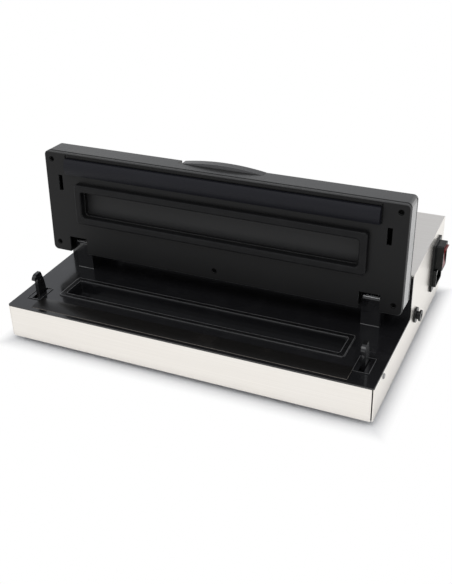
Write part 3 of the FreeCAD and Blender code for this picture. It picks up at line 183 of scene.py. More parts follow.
class Look:
    """One finish: its shader and the nodes that vary it."""

    def __init__(self, name, colour, roughness, metallic=0.0, coat=0.0, coat_roughness=0.1, level=0.5):
        self.material = bpy.data.materials.new(name)
        self.material.use_nodes = True
        self.material.diffuse_color = (*colour, 1)
        self.tree = self.material.node_tree
        self.shader = self.tree.nodes["Principled BSDF"]
        self.set("Base Color", (*colour, 1))
        self.set("Roughness", roughness)
        self.set("Metallic", metallic)
        self.set("Coat Weight", coat)
        self.set("Coat Roughness", coat_roughness)
        self.set("Specular IOR Level", level)
        self.place = self.node("TexCoord", {}, out="Object")
        self.bumps = None

    def set(self, socket, value):
        if isinstance(value, Wire):
            self.tree.links.new(value.socket, self.shader.inputs[socket])
        else:
            self.shader.inputs[socket].default_value = value

    def node(self, kind, settings, *values, out=0):
        """Any node: its settings first, then values or links for its sockets in order."""
        prefix = "Tex" if kind in ("Noise", "Voronoi", "Wave") else ""
        made = self.tree.nodes.new(f"ShaderNode{prefix}{kind}")
        for key, value in settings.items():
            if key in made.inputs:
                made.inputs[key].default_value = value
            else:
                setattr(made, key, value)
        for spot, value in enumerate(values):
            if isinstance(value, Wire):
                self.tree.links.new(value.socket, made.inputs[spot])
            else:
                made.inputs[spot].default_value = value
        return Wire(self, made.outputs[out])

    def stretched(self, scale):
        return self.node("Mapping", {"Scale": scale}, self.place)

    def noise(self, scale, detail=2.0, rough=0.5, where=None):
        settings = {"Scale": scale, "Detail": detail, "Roughness": rough}
        return self.node("Noise", settings, where or self.place)

    def cells(self, scale):
        return self.node("Voronoi", {"Scale": scale}, self.place)

    def waves(self, scale, direction, **settings):
        return self.node("Wave", {"Scale": scale, "bands_direction": direction, **settings}, self.place)

    def tint(self, mask, colour):
        """Mixes another colour into the base where the mask is 1."""
        base = self.shader.inputs["Base Color"]
        made = self.tree.nodes.new("ShaderNodeMix")
        made.data_type = "RGBA"
        self.tree.links.new(mask.socket, made.inputs[0])
        if base.is_linked:
            self.tree.links.new(base.links[0].from_socket, made.inputs[6])
        else:
            made.inputs[6].default_value = base.default_value
        made.inputs[7].default_value = (*colour, 1)
        self.tree.links.new(made.outputs[2], base)
        return self

    def rough(self, value):
        self.set("Roughness", value)
        return self

    def bump(self, height, strength, distance):
        made = self.tree.nodes.new("ShaderNodeBump")
        made.inputs["Strength"].default_value = strength
        made.inputs["Distance"].default_value = distance
        self.tree.links.new(height.socket, made.inputs["Height"])
        if self.bumps:
            self.tree.links.new(self.bumps.outputs[0], made.inputs["Normal"])
        self.tree.links.new(made.outputs[0], self.shader.inputs["Normal"])
        self.bumps = made
        return self

    def magnitude(self, wire):
        return self.node("Math", {"operation": "ABSOLUTE"}, wire)

    def along(self, axis, start=Vector()):
        """How far a spot lies along an axis from a start, in metres."""
        way = self.node("VectorMath", {"operation": "DOT_PRODUCT"}, self.place, axis, out="Value")
        return way - axis.dot(start)

    def above_hinge(self):
        """Height above the hinge of the closed lid, in metres."""
        return self.along(LID_SPIN @ UPWARDS, HINGE)

    def across(self):
        """Distance from the middle of the object, left or right, in metres."""
        return self.magnitude(self.along(SIDEWAYS))

    def facing(self, axis):
        """How far the surface faces along one axis, either way."""
        normal = self.node("NewGeometry", {}, out="Normal")
        parts = self.tree.nodes.new("ShaderNodeSeparateXYZ")
        self.tree.links.new(normal.socket, parts.inputs[0])
        return self.magnitude(Wire(self, parts.outputs[axis]))


def scaled(colour, share):
    return tuple(min(1.0, c * share) for c in colour)


# Finishes
def brushed_steel():
    look = Look("brushed_steel", (0.93, 0.895, 0.845), 0.3, 1.0)
    along = look.noise(1.0, 3.0, 0.6, look.stretched((5, 5, 2200)))
    across = look.noise(1.0, 3.0, 0.6, look.stretched((5, 2200, 5)))
    top = look.facing("Z").over(0.7, 0.2)
    streak = along * (1 - top) + across * top
    smudge = look.noise(9.0, 3.0).over(0.62, 0.3)
    look.tint(streak.over(0.42, 0.5), (0.86, 0.825, 0.775))
    look.tint(smudge * 0.35, (0.90, 0.875, 0.84))
    look.rough(0.24 + streak * 0.16 + smudge * 0.05)
    return look.bump(streak, 0.10, 0.0002)


def galvanised():
    look = Look("galvanised_pan", (0.60, 0.61, 0.62), 0.45, 1.0)
    spangle = look.cells(130.0)
    drift = look.noise(30.0, 4.0)
    look.tint(spangle.over(0.5, 0.6), (0.48, 0.49, 0.51))
    look.tint(drift.over(0.6, 0.2) * 0.5, (0.66, 0.66, 0.65))
    return look.rough(0.36 + spangle * 0.2)


def foot_rubber():
    look = Look("foot_rubber", (0.022, 0.022, 0.022), 0.75)
    grain = look.noise(900.0, 3.0)
    look.tint(look.noise(60.0, 4.0).over(0.6, 0.2) * 0.6, (0.05, 0.048, 0.046)).rough(0.66 + grain * 0.2)
    return look.bump(grain, 0.25, 0.0003)


def deck_gloss():
    look = Look("deck_gloss", (0.010, 0.010, 0.011), 0.16, coat=0.35, coat_roughness=0.04)
    flow = look.noise(14.0, 2.0)
    dust = look.cells(420.0).over(0.07, 0.05)
    haze = look.noise(38.0, 5.0, 0.6).over(0.58, 0.3)
    look.tint((1 - dust) * 0.35, (0.07, 0.07, 0.07)).tint(haze * 0.3, (0.018, 0.018, 0.019))
    wipes = look.noise(1.0, 3.0, 0.6, look.stretched((5, 700, 700)))
    look.rough(0.12 + haze * 0.10 + flow * 0.04)
    return look.bump(flow, 0.05, 0.0004).bump(wipes, 0.05, 0.0002)


def lid_satin():
    """Satin lid plate with painted highlights on its front edge and round the edge of its face, and a paler
    recess.
    """
    look = Look("lid_satin", (0.0060, 0.0060, 0.0062), 0.42, level=0.22)
    grain = look.noise(1500.0, 2.0)
    spark = look.cells(1100.0)
    drift = look.noise(12.0, 4.0).over(0.55, 0.4)
    look.tint(drift * 0.5, (0.0085, 0.0085, 0.0088)).rough(0.36 + grain * 0.12 + drift * 0.04)
    rise = look.above_hinge()
    # Painted highlights: a thin pale line round the edge of the face, and a paler band on the plate's front
    # edge
    rim_highlight = rise.over(RIM_HIGHLIGHT_RISES[0], 0.00004) - rise.over(RIM_HIGHLIGHT_RISES[1], 0.0002)
    front = 1 - look.along(LID_SPIN @ BACKWARDS, HINGE).over(FRONT_BAND, 0.0004)
    band = front * (1 - rise.over(PLATE_TOP, 0.0002))
    look.tint(rise.over(RECESS_WALL, 0.001), (0.020, 0.020, 0.0203))
    look.tint(band, (0.045, 0.045, 0.044)).tint(rim_highlight, (0.06, 0.06, 0.06))
    return look.bump(grain * 0.6 + spark * 0.4, 0.10, 0.00012)


def cover_gloss(name, colour):
    """Glossy lid shell with painted shadow along its parting line, and a dark line down each end."""
    look = Look(name, colour, 0.3, coat_roughness=0.14, level=0.4)
    grain = look.noise(1300.0, 2.0)
    drift = look.noise(10.0, 4.0).over(0.55, 0.4)
    rise = look.above_hinge()
    # Painted shadow: a dark band along the parting line between shell and plate
    seam_shadow = 1 - rise.over(SEAM_SHADOW_TOP, 0.0006)
    flank = look.across().over(LID_END, 0.0004)
    line = (rise.over(END_LINE[0], 0.0006) - rise.over(END_LINE[1], 0.0006)) * flank
    # The painted shadow and the dark end lines, darkened together
    dark = seam_shadow + line
    look.tint(drift * 0.5, scaled(colour, 1.3)).tint(dark, (0.0005, 0.0005, 0.0005))
    look.set("Coat Weight", (0.3 + flank * 0.7) * (1 - dark))
    look.rough(0.30 + grain * 0.10 + drift * 0.05 + dark * 0.5)
    return look.bump(grain, 0.05, 0.0001)


def tab_gloss_lit():
    """The lid shell's finish, with a painted highlight making the tab's inner face paler."""
    look = cover_gloss("tab_gloss_lit", COVER_COLOUR)
    # Painted highlight on the tab's inner face
    inner = 1 - look.above_hinge().over(TAB_INNER + 0.0004, 0.0002)
    return look.tint(inner, (0.11, 0.11, 0.112))


def seal_rubber(name, roughness, level):
    look = Look(name, (0.006, 0.006, 0.0065), roughness, level=level)
    foam = look.cells(1900.0)
    drift = look.noise(70.0, 4.0).over(0.55, 0.3)
    look.tint(drift * 0.6, (0.010, 0.010, 0.0105)).rough(roughness - 0.1 + foam * 0.2)
    return look.bump(foam, 0.4 * roughness, 0.0002)


def bar_rubber():
    look = Look("bar_rubber", (0.0070, 0.0072, 0.0105), 0.5, level=0.2)
    grain = look.noise(1400.0, 3.0)
    drift = look.noise(22.0, 4.0).over(0.55, 0.4)
    lines = look.noise(1.0, 2.0, 0.5, look.stretched((4, 900, 900)))
    look.tint(drift * 0.6, (0.0090, 0.0092, 0.0130)).rough(0.42 + grain * 0.14 + lines * 0.06)
    return look.bump(grain * 0.5 + lines * 0.5, 0.12, 0.0002)


def release_tape():
    look = Look("release_tape", (0.008, 0.0075, 0.007), 0.3, level=0.4)
    weave = look.waves(260.0, "X", Distortion=0.4) * look.waves(260.0, "Y", Distortion=0.4)
    wear = look.noise(24.0, 5.0).over(0.6, 0.2)
    look.tint(weave.over(0.5, 0.6) * 0.6, (0.012, 0.011, 0.010)).tint(wear * 0.4, (0.016, 0.014, 0.012))
    return look.rough(0.22 + weave * 0.10 + wear * 0.08).bump(weave, 0.12, 0.0001)


def plain_rubber(name, colour, roughness):
    look = Look(name, colour, roughness)
    grain = look.noise(700.0, 4.0)
    drift = look.noise(40.0, 4.0).over(0.55, 0.3)
    look.tint(drift * 0.6, scaled(colour, 1.25)).rough(roughness - 0.06 + grain * 0.14)
    return look.bump(grain, 0.15, 0.0002)


def drawn_metal(name, colour, roughness, scale=(900, 30, 30)):
    look = Look(name, colour, roughness, 1.0)
    lines = look.noise(1.0, 3.0, 0.6, look.stretched(scale))
    tarnish = look.noise(160.0, 4.0).over(0.6, 0.2)
    look.tint(lines.over(0.5, 0.5) * 0.5, scaled(colour, 0.82)).tint(tarnish * 0.4, scaled(colour, 0.7))
    return look.rough(roughness - 0.06 + lines * 0.14).bump(lines, 0.1, 0.0001)


def pivot_grey():
    look = drawn_metal("pivot_grey", (0.012, 0.012, 0.012), 0.4, (400, 400, 400))
    head = look.across().over(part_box("side_right")[1][0], 0.0002)
    return look.tint(head, (0.30, 0.30, 0.30))


def hook_enamel():
    look = Look("hook_enamel", (0.008, 0.008, 0.0085), 0.22, coat=0.3, coat_roughness=0.08)
    peel = look.noise(240.0, 2.0)
    rub = look.noise(120.0, 5.0, 0.7).over(0.68, 0.1)
    look.tint(rub * 0.5, (0.10, 0.10, 0.10)).rough(0.18 + peel * 0.08 + rub * 0.2)
    return look.bump(peel, 0.12, 0.0004)


def moulded(name, colour, roughness, coat=0.0, level=0.5):
    look = Look(name, colour, roughness, coat=coat, coat_roughness=0.08, level=level)
    grain = look.noise(1100.0, 2.0)
    drift = look.noise(26.0, 4.0).over(0.55, 0.4)
    look.tint(drift * 0.6, scaled(colour, 1.3)).rough(roughness - 0.05 + grain * 0.1 + drift * 0.03)
    return look.bump(grain, 0.12, 0.00015)


def rocker_red():
    look = Look("rocker_red", (0.20, 0.004, 0.005), 0.3, coat=0.1, coat_roughness=0.08)
    grain = look.noise(900.0, 2.0)
    drift = look.noise(90.0, 4.0).over(0.55, 0.4)
    look.tint(drift * 0.5, (0.16, 0.003, 0.004)).rough(0.25 + grain * 0.1)
    return look.bump(grain, 0.08, 0.0001)


def board_green():
    look = Look("board_green", (0.012, 0.10, 0.035), 0.4, coat=0.3)
    tracks = look.waves(90.0, "X", Distortion=6.0, Detail=0.0)
    look.tint(tracks.over(0.7, 0.1), (0.02, 0.17, 0.06))
    return look.rough(0.34 + tracks * 0.1).bump(tracks.over(0.7, 0.1), 0.2, 0.0002)


def cast_metal():
    look = Look("cast_metal", (0.56, 0.56, 0.57), 0.5, 1.0)
    skin = look.noise(420.0, 5.0, 0.65)
    look.tint(skin.over(0.55, 0.3), (0.45, 0.45, 0.46)).rough(0.40 + skin * 0.25)
    return look.bump(skin, 0.3, 0.0004)


def laminations():
    look = Look("laminations", (0.19, 0.18, 0.17), 0.5, 0.8)
    sheets = look.waves(320.0, "Y", Distortion=0.3)
    rust = look.noise(120.0, 5.0).over(0.62, 0.2)
    look.tint(sheets.over(0.5, 0.5), (0.12, 0.115, 0.11)).tint(rust * 0.4, (0.2, 0.11, 0.06))
    return look.rough(0.42 + sheets * 0.2).bump(sheets, 0.4, 0.0003)


def winding_tape():
    look = Look("winding_tape", (0.50, 0.38, 0.07), 0.4, coat=0.2)
    wraps = look.waves(45.0, "Z", Distortion=1.0)
    look.tint(wraps.over(0.85, 0.2), (0.38, 0.27, 0.04)).rough(0.34 + wraps * 0.12)
    return look.bump(wraps, 0.25, 0.0004)


def lamp_clear():
    look = Look("lamp_clear", (0.26, 0.40, 0.26), 0.12, coat=0.5, coat_roughness=0.03)
    rings = look.noise(500.0, 1.0)
    look.tint(rings.over(0.5, 0.4) * 0.5, (0.34, 0.5, 0.33)).rough(0.08 + rings * 0.1)
    return look.bump(rings, 0.1, 0.0001)


FINISHES = {
    "steel": brushed_steel(),
    "pan_steel": galvanised(),
    "rubber_foot": foot_rubber(),
    "deck_plastic": deck_gloss(),
    "lid_plastic": lid_satin(),
    "seal_rubber": seal_rubber("seal_rubber", 0.45, 0.16),
    "bar_rubber": bar_rubber(),
    "tape": release_tape(),
    "silicone": plain_rubber("bed_silicone", (0.28, 0.25, 0.22), 0.6),
    "nichrome": drawn_metal("heater_ribbon", (0.50, 0.48, 0.45), 0.4, (30, 900, 900)),
    "hook_metal": hook_enamel(),
    "pin_steel": drawn_metal("pin_steel", (0.74, 0.74, 0.74), 0.22),
    "spring_steel": drawn_metal("spring_steel", (0.58, 0.58, 0.59), 0.3),
    "inlet_plastic": moulded("inlet_plastic", (0.0055, 0.0058, 0.0058), 0.3, 0.05, 0.25),
    "brass_pin": drawn_metal("plated_pin", (0.76, 0.72, 0.62), 0.25),
    "rocker_red": rocker_red(),
    "panel_plastic": moulded("panel_plastic", (0.026, 0.026, 0.028), 0.45),
    "button_grey": moulded("button_grey", (0.20, 0.20, 0.205), 0.42),
    "lamp_clear": lamp_clear(),
    "board_green": board_green(),
    "pump_cast": cast_metal(),
    "motor_can": drawn_metal("motor_can", (0.50, 0.50, 0.52), 0.35, (20, 700, 700)),
    "core_iron": laminations(),
    "winding_tape": winding_tape(),
    "hose_silicone": plain_rubber("hose_silicone", (0.62, 0.62, 0.58), 0.4),
}
COVER = cover_gloss("cover_gloss", COVER_COLOUR)
TAB = tab_gloss_lit()
GASKET = seal_rubber("trough_gasket", 0.24, 0.5)
SCREW_BLACK = moulded("screw_black", (0.002, 0.002, 0.002), 0.7, level=0.05)
PIVOT_GREY = pivot_grey()
# Painted highlight: pale finish for the strip on the right hinge bracket's brow
BROW_HIGHLIGHT = moulded("brow_highlight", (0.92, 0.92, 0.91), 0.4)
# Painted highlight: grey finish for the strips on the hinge brackets' feet and the left brow
EDGE_HIGHLIGHT_GREY = moulded("edge_highlight_grey", (0.22, 0.22, 0.22), 0.4)
# Painted highlight: grey finish for the loops on the trough's seal
SEAL_HIGHLIGHT_GREY = moulded("seal_highlight_grey", (0.13, 0.13, 0.13), 0.4)
# Painted highlight: grey finish for the strips round the hook slots
SLOT_HIGHLIGHT_GREY = moulded("slot_highlight_grey", (0.10, 0.10, 0.10), 0.4)
SPRING_DARK = drawn_metal("spring_dark", (0.05, 0.05, 0.052), 0.4)
SCREW_PLATED = drawn_metal("screw_plated", (0.62, 0.60, 0.55), 0.3, (400, 400, 400))
MARK_WHITE = moulded("mark_white", (0.72, 0.72, 0.70), 0.45)

# Nodes whose finish isn't that of their slot, by the start of their names
OWN_FINISHES = {
    "lid_cover": COVER,
    "lock_tab": TAB,
    "hinge_bracket": FINISHES["deck_plastic"],
    "deck_seal": GASKET,
    "hook_spring": SPRING_DARK,
    "hook_pivot": PIVOT_GREY,
}
for subpart in record["subparts"]:
    finish = FINISHES[subpart["material_slot"]]
    for start, own in OWN_FINISHES.items():
        if subpart["node"].startswith(start):
            finish = own
    mesh = nodes[subpart["node"]].data
    mesh.materials.clear()
    mesh.materials.append(finish.material)


# Placing
def linked(name, data):
    piece = bpy.data.objects.new(name, data)
    bpy.context.collection.objects.link(piece)
    return piece


def evaluated_mesh(piece):
    return bpy.data.meshes.new_from_object(piece.evaluated_get(bpy.context.evaluated_depsgraph_get()))


def on_lid(x, back, rise):
    """A spot on the open lid, from the closed lid's: across, behind the casing's front, above the hinge."""
    return HINGE + LID_TURN @ Vector((x, back - HINGE_BACK, rise))


def on_panel(x, y, rise):
    """A spot on the tilted control panel from its middle."""
    return PANEL + Matrix.Rotation(PANEL_TILT, 3, "X") @ Vector((x, y, rise))


# Repeated screws
def screw_tree(finish):
    """Pan-head screws with a cross recess, one at each point, all turned alike."""
    tree = bpy.data.node_groups.new("screws", "GeometryNodeTree")
    face = tree.interface
    face.new_socket("Points", in_out="INPUT", socket_type="NodeSocketGeometry")
    kinds = {"Radius": "Float", "Height": "Float", "Recess": "Float", "Turn": "Vector"}
    sizes = {}
    for name, kind in kinds.items():
        made = face.new_socket(name, in_out="INPUT", socket_type=f"NodeSocket{kind}")
        sizes[name] = made.identifier
    face.new_socket("Screws", in_out="OUTPUT", socket_type="NodeSocketGeometry")
    start = tree.nodes.new("NodeGroupInput")
    end = tree.nodes.new("NodeGroupOutput")

    def step(kind, links=(), **settings):
        made = tree.nodes.new(kind)
        for key, value in settings.items():
            setattr(made, key, value)
        for source, socket in links:
            tree.links.new(source, made.inputs[socket])
        return made

    def times(socket, factor):
        made = step("ShaderNodeMath", [(socket, 0)], operation="MULTIPLY")
        made.inputs[1].default_value = factor
        return made.outputs[0]

    radius, height, recess, turned = (start.outputs[name] for name in kinds)
    head = step(
        "GeometryNodeMeshCone",
        [(times(radius, SCREW_CROWN), "Radius Top"), (radius, "Radius Bottom"), (height, "Depth")],
    )
    head.inputs["Vertices"].default_value = SCREW_SIDES
    bars = step("GeometryNodeJoinGeometry")
    for sides in ((CROSS_LONG, CROSS_WIDE), (CROSS_WIDE, CROSS_LONG)):
        lengths = [times(radius, side) for side in sides] + [times(recess, 2.0)]
        size = step("ShaderNodeCombineXYZ", [(length, axis) for axis, length in enumerate(lengths)])
        bar = step("GeometryNodeMeshCube", [(size.outputs[0], "Size")])
        lift = step("ShaderNodeCombineXYZ", [(height, 2)])
        moved = step(
            "GeometryNodeTransform", [(bar.outputs[0], "Geometry"), (lift.outputs[0], "Translation")]
        )
        tree.links.new(moved.outputs[0], bars.inputs[0])
    cut = step(
        "GeometryNodeMeshBoolean", [(head.outputs[0], 0), (bars.outputs[0], 1)], operation="DIFFERENCE"
    )
    spread = step(
        "GeometryNodeInstanceOnPoints",
        [(start.outputs["Points"], "Points"), (cut.outputs[0], "Instance"), (turned, "Rotation")],
    )
    real = step("GeometryNodeRealizeInstances", [(spread.outputs[0], 0)])
    dressed = step("GeometryNodeSetMaterial", [(real.outputs[0], 0)])
    dressed.inputs["Material"].default_value = finish.material
    tree.links.new(dressed.outputs[0], end.inputs[0])
    return tree, sizes


def screws(name, body, finish, spots, turn, head):
    mesh = bpy.data.meshes.new(name)
    mesh.from_pydata([tuple(spot) for spot in spots], [], [])
    piece = linked(name, mesh)
    tree, sizes = screw_tree(finish)
    maker = piece.modifiers.new("screws", "NODES")
    maker.node_group = tree
    radius, height = head
    values = {"Radius": radius, "Height": height, "Recess": height * CROSS_DEEP, "Turn": turn}
    for key, value in values.items():
        maker[sizes[key]] = value
    made = evaluated_mesh(piece)
    piece.modifiers.remove(maker)
    piece.data = made
    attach(piece, body)


def hoop_faces(first, count):
    """Faces of a closed band whose sections have four corners each."""
    faces = []
    for step in range(count):
        here, there = first + 4 * step, first + 4 * ((step + 1) % count)
        faces += [(here + i, there + i, there + (i + 1) % 4, here + (i + 1) % 4) for i in range(4)]
    return faces


# Painted shade: flat black rings round the lid's screw holes, widening their dark
def hole_shade_rings(name, body, spots, turn, steps=24):
    """Flat rings with thickness, all turned alike."""
    outer, inner = HOLE_SHADE_RADII
    spin = Matrix.Rotation(turn, 3, "X")
    mesh = bpy.data.meshes.new(name)
    corners, faces = [], []
    for spot in spots:
        faces += hoop_faces(len(corners), steps)
        for step in range(steps):
            angle = 2 * math.pi * step / steps
            way = Vector((math.cos(angle), math.sin(angle), 0))
            for radius, rise in ((outer, 0), (outer, HOLE_SHADE_LIFT), (inner, HOLE_SHADE_LIFT), (inner, 0)):
                corners.append(spot + spin @ (way * radius + UPWARDS * rise))
    mesh.from_pydata(corners, [], faces)
    mesh.materials.append(SCREW_BLACK.material)
    piece = linked(name, mesh)
    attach(piece, body)


lid_holes = [(x, back) for x in (-LID_SCREW_X, LID_SCREW_X) for back in LID_SCREW_BACKS]
lid_holes.append((0, LID_SCREW_BACKS[1]))
lid_spots = [on_lid(x, back, LID_FACE + LID_SCREW_SINK) for x, back in lid_holes]
hole_shade_spots = [on_lid(x, back, LID_FACE) for x, back in lid_holes]
downwards = math.pi - LID_OPEN
screws("lid_screws", "lid", SCREW_BLACK, lid_spots, (downwards, 0.0, 0.0), LID_SCREW)
hole_shade_rings("lid_hole_shade", "lid", hole_shade_spots, downwards)
screws("pan_screws", "base", SCREW_PLATED, PAN_SCREW_SPOTS, (math.pi, 0.0, 0.0), PAN_SCREW)


# Straight strips
def block(low, high):
    """Corners and faces of an upright box."""
    across, along, upright = zip(low, high)
    spots = [(x, y, z) for x in across for y in along for z in upright]
    return spots, [(0, 1, 3, 2), (4, 6, 7, 5), (0, 4, 5, 1), (2, 3, 7, 6), (0, 2, 6, 4), (1, 5, 7, 3)]


def strips(name, body, finish, blocks):
    """One piece made of separate boxes or one other shape."""
    mesh = bpy.data.meshes.new(name)
    spots, faces = [], []
    for corners, sides in blocks:
        faces += [tuple(len(spots) + i for i in side) for side in sides]
        spots += corners
    mesh.from_pydata(spots, [], faces)
    mesh.materials.append(finish.material)
    piece = linked(name, mesh)
    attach(piece, body)


# Painted highlights on each hinge bracket: a pale strip on its brow and another along the front of its foot
def hinge_edge_highlights(side, brow_highlight_finish):
    (left, front, _), (right, _, _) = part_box(f"hinge_bracket_{side}")
    brow = HINGE.z + BROW_RISE
    strip = block(
        (left + BROW_INSET, front + BROW_INSET, brow - BROW_SHEET),
        (right - BROW_INSET, front + BROW_DEPTH, brow + BROW_SHEET * 2),
    )
    strips(f"hinge_brow_highlight_{side}", "base", brow_highlight_finish, [strip])
    rim_highlight = block((left, front - BROW_SHEET, DECK_TOP), (right, front, DECK_TOP + BROW_SHEET))
    strips(f"hinge_foot_highlight_{side}", "base", EDGE_HIGHLIGHT_GREY, [rim_highlight])


# Painted highlight on the edge of the raised lip round each hook slot, as thin pale strips
def slot_highlight(side, hand):
    x, y, z = SLOT_CENTRE
    half_x, half_y = SLOT_LIP
    left, right = hand * x - half_x, hand * x + half_x
    front, back = y - half_y, y + half_y
    bars = [
        ((left, front), (right, front + EDGE_WIDE)),
        ((left, back - EDGE_WIDE), (right, back)),
        ((left, front + EDGE_WIDE), (left + EDGE_WIDE, back - EDGE_WIDE)),
        ((right - EDGE_WIDE, front + EDGE_WIDE), (right, back - EDGE_WIDE)),
    ]
    blocks = [block((*low, z), (*high, z + EDGE_THICK)) for low, high in bars]
    strips(f"slot_highlight_{side}", "base", SLOT_HIGHLIGHT_GREY, blocks)


# Guides that close the slot beside each hook
def slot_guide(side, hand):
    x, y, z = SLOT_CENTRE
    half_x, half_y = SLOT_HOLE
    front, back = y - half_y, y + half_y
    low, high = z - GUIDE_DROP - GUIDE_THICK, z - GUIDE_DROP
    spans = [(-half_x, -GUIDE_GAP), (GUIDE_GAP, half_x)]
    blocks = [block((hand * x + a, front, low), (hand * x + b, back, high)) for a, b in spans]
    strips(f"slot_guide_{side}", "base", FINISHES["deck_plastic"], blocks)


for side, hand, brow_highlight_finish in (("left", -1, EDGE_HIGHLIGHT_GREY), ("right", 1, BROW_HIGHLIGHT)):
    hinge_edge_highlights(side, brow_highlight_finish)
    slot_highlight(side, hand)
    slot_guide(side, hand)


# Painted highlights along both edges of the trough's seal, as thin pale loops
def rounded_path(half_x, half_y, radius, steps=6):
    """Corners of a rounded rectangle about the origin."""
    spots = []
    for turn, (right, back) in enumerate(((1, 1), (-1, 1), (-1, -1), (1, -1))):
        for step in range(steps + 1):
            angle = math.pi / 2 * (turn + step / steps)
            x = right * (half_x - radius) + radius * math.cos(angle)
            spots.append((x, back * (half_y - radius) + radius * math.sin(angle)))
    return spots


def seal_highlight():
    low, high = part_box("deck_seal")
    centre = (low + high) / 2
    half_x, half_y = (high.x - low.x) / 2, (high.y - low.y) / 2
    spots, faces = [], []
    for inset, radius in SHINE_LOOPS:
        outer = rounded_path(half_x - inset, half_y - inset, radius)
        inset += SHINE_WIDTH
        inner = rounded_path(half_x - inset, half_y - inset, radius - SHINE_WIDTH)
        faces += hoop_faces(len(spots), len(outer))
        for out, inn in zip(outer, inner):
            for (x, y), rise in ((out, -1), (out, 1), (inn, 1), (inn, -1)):
                spots.append((centre.x + x, centre.y + y, high.z + rise * SHINE_RISE))
    strips("seal_highlight", "base", SEAL_HIGHLIGHT_GREY, [(spots, faces)])


seal_highlight()


# Pressure bar trimmed at its front edge, with the lid's lip filling its groove there
def trimmed_bar():
    to_lid = Matrix.Translation(HINGE) @ LID_TURN @ Matrix.Translation((0, -HINGE_BACK, 0))
    mesh = nodes["pressure_bar"].data.copy()
    mesh.transform(to_lid.inverted())
    backs = [corner.co.y for corner in mesh.vertices]
    front, rear = min(backs), max(backs)
    half = max(corner.co.x for corner in mesh.vertices)
    share = 1 - BAR_TRIM / (rear - front)
    for corner in mesh.vertices:
        corner.co.y = rear - (rear - corner.co.y) * share
    mesh.transform(to_lid)
    piece = linked("trimmed_bar", mesh)
    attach(piece, "lid")
    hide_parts("pressure_bar")
    lip_back = front + BAR_TRIM - BAR_LINE
    spots, faces = block((-half, front, LID_FACE), (half, lip_back, LID_FACE + BAR_ROOT))
    spots = [to_lid @ Vector(spot) for spot in spots]
    strips("bar_lip", "lid", FINISHES["lid_plastic"], [(spots, faces)])


trimmed_bar()


# Torsion springs of the hinges, one leg in the bracket and one in the lid: each part copied with its
# doubled corners welded, in its place
def wound_spring(side):
    node = f"hinge_spring_{side}"
    mesh = nodes[node].data.copy()
    work = bmesh.new()
    work.from_mesh(mesh)
    bmesh.ops.remove_doubles(work, verts=work.verts, dist=WELD_REACH)
    work.to_mesh(mesh)
    work.free()
    piece = linked(f"wound_spring_{side}", mesh)
    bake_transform(piece)
    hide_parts(node)


wound_spring("left")
wound_spring("right")


# Raised signs on the buttons
def sign(name, body, loops, place):
    """Flat outlines given thickness, set on a face by a matrix."""
    curve = bpy.data.curves.new(name, "CURVE")
    curve.dimensions = "2D"
    curve.fill_mode = "BOTH"
    curve.extrude = SIGN_DEPTH / 2
    for loop in loops:
        line = curve.splines.new("POLY")
        line.points.add(len(loop) - 1)
        for spot, (x, y) in zip(line.points, loop):
            spot.co = (x, y, 0, 1)
        line.use_cyclic_u = True
    holder = linked(name, curve)
    mesh = evaluated_mesh(holder)
    mesh.transform(place)
    bpy.data.objects.remove(holder)
    piece = linked(name, mesh)
    mesh.materials.clear()
    mesh.materials.append(MARK_WHITE.material)
    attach(piece, body)


def ring(radius, count=40):
    angles = [2 * math.pi * i / count for i in range(count)]
    return [(radius * math.cos(angle), radius * math.sin(angle)) for angle in angles]


def bar(width, height, y=0.0):
    sides = ((-1, -1), (1, -1), (1, 1), (-1, 1))
    return [(right * width / 2, y + up * height / 2) for right, up in sides]


SIGNS = {
    "vacuum": ("button_a", [ring(0.0034), ring(0.0026), bar(0.0008, 0.0030)]),
    "seal": ("button_b", [bar(0.0090, 0.0008, y) for y in (-0.0016, 0, 0.0016)]),
    "stop": ("button_c", [bar(0.0052, 0.0052)]),
}
for index, (name, (body, loops)) in enumerate(SIGNS.items()):
    centre = on_panel((index - 1) * BUTTON_PITCH, BUTTON_Y, BUTTON_TOP)
    place = Matrix.Translation(centre) @ Matrix.Rotation(PANEL_TILT, 4, "X")
    sign(f"sign_{name}", body, loops, place)


# Floor, light and camera
def whiten(look, half_width, half_depth, reach):
    """Turns the floor into the plain white ground away from the object, for the eye and for reflections."""
    tree = look.tree
    beside = look.across() - half_width
    ahead = look.magnitude(look.along(BACKWARDS)) - half_depth
    away = look.node("Math", {"operation": "MAXIMUM"}, beside, ahead)
    fade = away.over(reach / 2, reach)
    path = tree.nodes.new("ShaderNodeLightPath")
    eye, gloss, glass = (
        Wire(look, path.outputs[f"Is {kind} Ray"]) for kind in ("Camera", "Glossy", "Transmission")
    )
    seen = look.node("Math", {"operation": "ADD", "use_clamp": True}, eye + gloss, glass)
    glow = tree.nodes.new("ShaderNodeEmission")
    mix = tree.nodes.new("ShaderNodeMixShader")
    tree.links.new((fade * seen).socket, mix.inputs[0])
    tree.links.new(look.shader.outputs[0], mix.inputs[1])
    tree.links.new(glow.outputs[0], mix.inputs[2])
    tree.links.new(mix.outputs[0], tree.nodes["Material Output"].inputs["Surface"])


def make_stage():
    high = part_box("bottom_pan")[1]
    mesh = bpy.data.meshes.new("floor")
    sides = ((-1, -1), (1, -1), (1, 1), (-1, 1))
    corners = [(FLOOR_REACH * right, FLOOR_REACH * back, FLOOR_Z) for right, back in sides]
    mesh.from_pydata(corners, [], [(0, 1, 2, 3)])
    floor = linked("floor", mesh)
    pale = Look("pale_floor", (0.90, 0.90, 0.90), 0.9, level=0.1)
    pale.tint(pale.noise(3.0, 3.0) * 0.2, (0.92, 0.92, 0.92))
    whiten(pale, high[0], high[1], FLOOR_FADE)
    mesh.materials.append(pale.material)


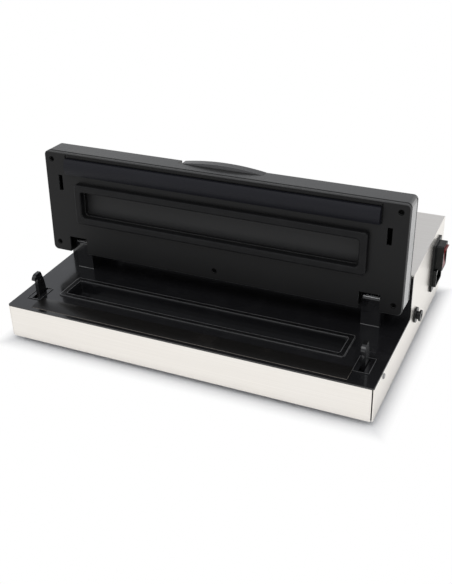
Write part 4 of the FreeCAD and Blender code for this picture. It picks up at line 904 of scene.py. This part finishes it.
def make_world():
    """A sky that pales towards the horizon, at full strength only where it is seen or mirrored."""
    world = bpy.data.worlds.new("studio")
    bpy.context.scene.world = world
    world.use_nodes = True
    tree = world.node_tree
    back = tree.nodes["Background"]
    place = tree.nodes.new("ShaderNodeTexCoord")
    parts = tree.nodes.new("ShaderNodeSeparateXYZ")
    tree.links.new(place.outputs["Generated"], parts.inputs[0])
    ramp = tree.nodes.new("ShaderNodeValToRGB")
    stops = ramp.color_ramp.elements
    stops[0].position, stops[0].color = SKY[0]
    stops[1].position, stops[1].color = SKY[1]
    stops.new(SKY[2][0]).color = SKY[2][1]
    tree.links.new(parts.outputs[2], ramp.inputs[0])
    path = tree.nodes.new("ShaderNodeLightPath")
    seen = path.outputs["Is Camera Ray"]
    for kind in ("Glossy", "Transmission"):
        either = tree.nodes.new("ShaderNodeMath")
        either.operation = "MAXIMUM"
        tree.links.new(seen, either.inputs[0])
        tree.links.new(path.outputs[f"Is {kind} Ray"], either.inputs[1])
        seen = either.outputs[0]
    strength = tree.nodes.new("ShaderNodeMapRange")
    strength.inputs["To Min"].default_value = SKY_LIGHT
    strength.inputs["To Max"].default_value = 1.0
    tree.links.new(seen, strength.inputs["Value"])
    tree.links.new(ramp.outputs[0], back.inputs["Color"])
    tree.links.new(strength.outputs[0], back.inputs["Strength"])


def lamp(name, spot, aim, width, height, power):
    data = bpy.data.lights.new(name, "AREA")
    data.shape = "RECTANGLE"
    data.size = width
    data.size_y = height
    data.energy = power
    made = linked(name, data)
    made.location = spot
    made.rotation_euler = (Vector(aim) - Vector(spot)).to_track_quat("-Z", "Y").to_euler()


def make_camera():
    """The photograph's own camera, with its slight roll."""
    azimuth, elevation, roll = (math.radians(angle) for angle in CAMERA_ANGLES)
    right = Vector((math.cos(azimuth), math.sin(azimuth), 0))
    level = Vector((math.sin(azimuth), -math.cos(azimuth), 0))
    back = level * math.cos(elevation) + UPWARDS * math.sin(elevation)
    up = back.cross(right)
    across = right * math.cos(roll) + up * math.sin(roll)
    above = up * math.cos(roll) - right * math.sin(roll)
    data = bpy.data.cameras.new("camera")
    data.sensor_width = SENSOR
    data.lens = SENSOR * FOCAL_PIXELS / PHOTO_HEIGHT
    camera = linked("camera", data)
    turn = Matrix((across, above, back)).transposed().to_4x4()
    camera.matrix_world = Matrix.Translation(CAMERA_PLACE) @ turn
    bpy.context.scene.camera = camera


make_stage()
make_world()
for name, settings in LAMPS.items():
    lamp(name, *settings)
make_camera()
bpy.context.scene.view_settings.view_transform = "Standard"
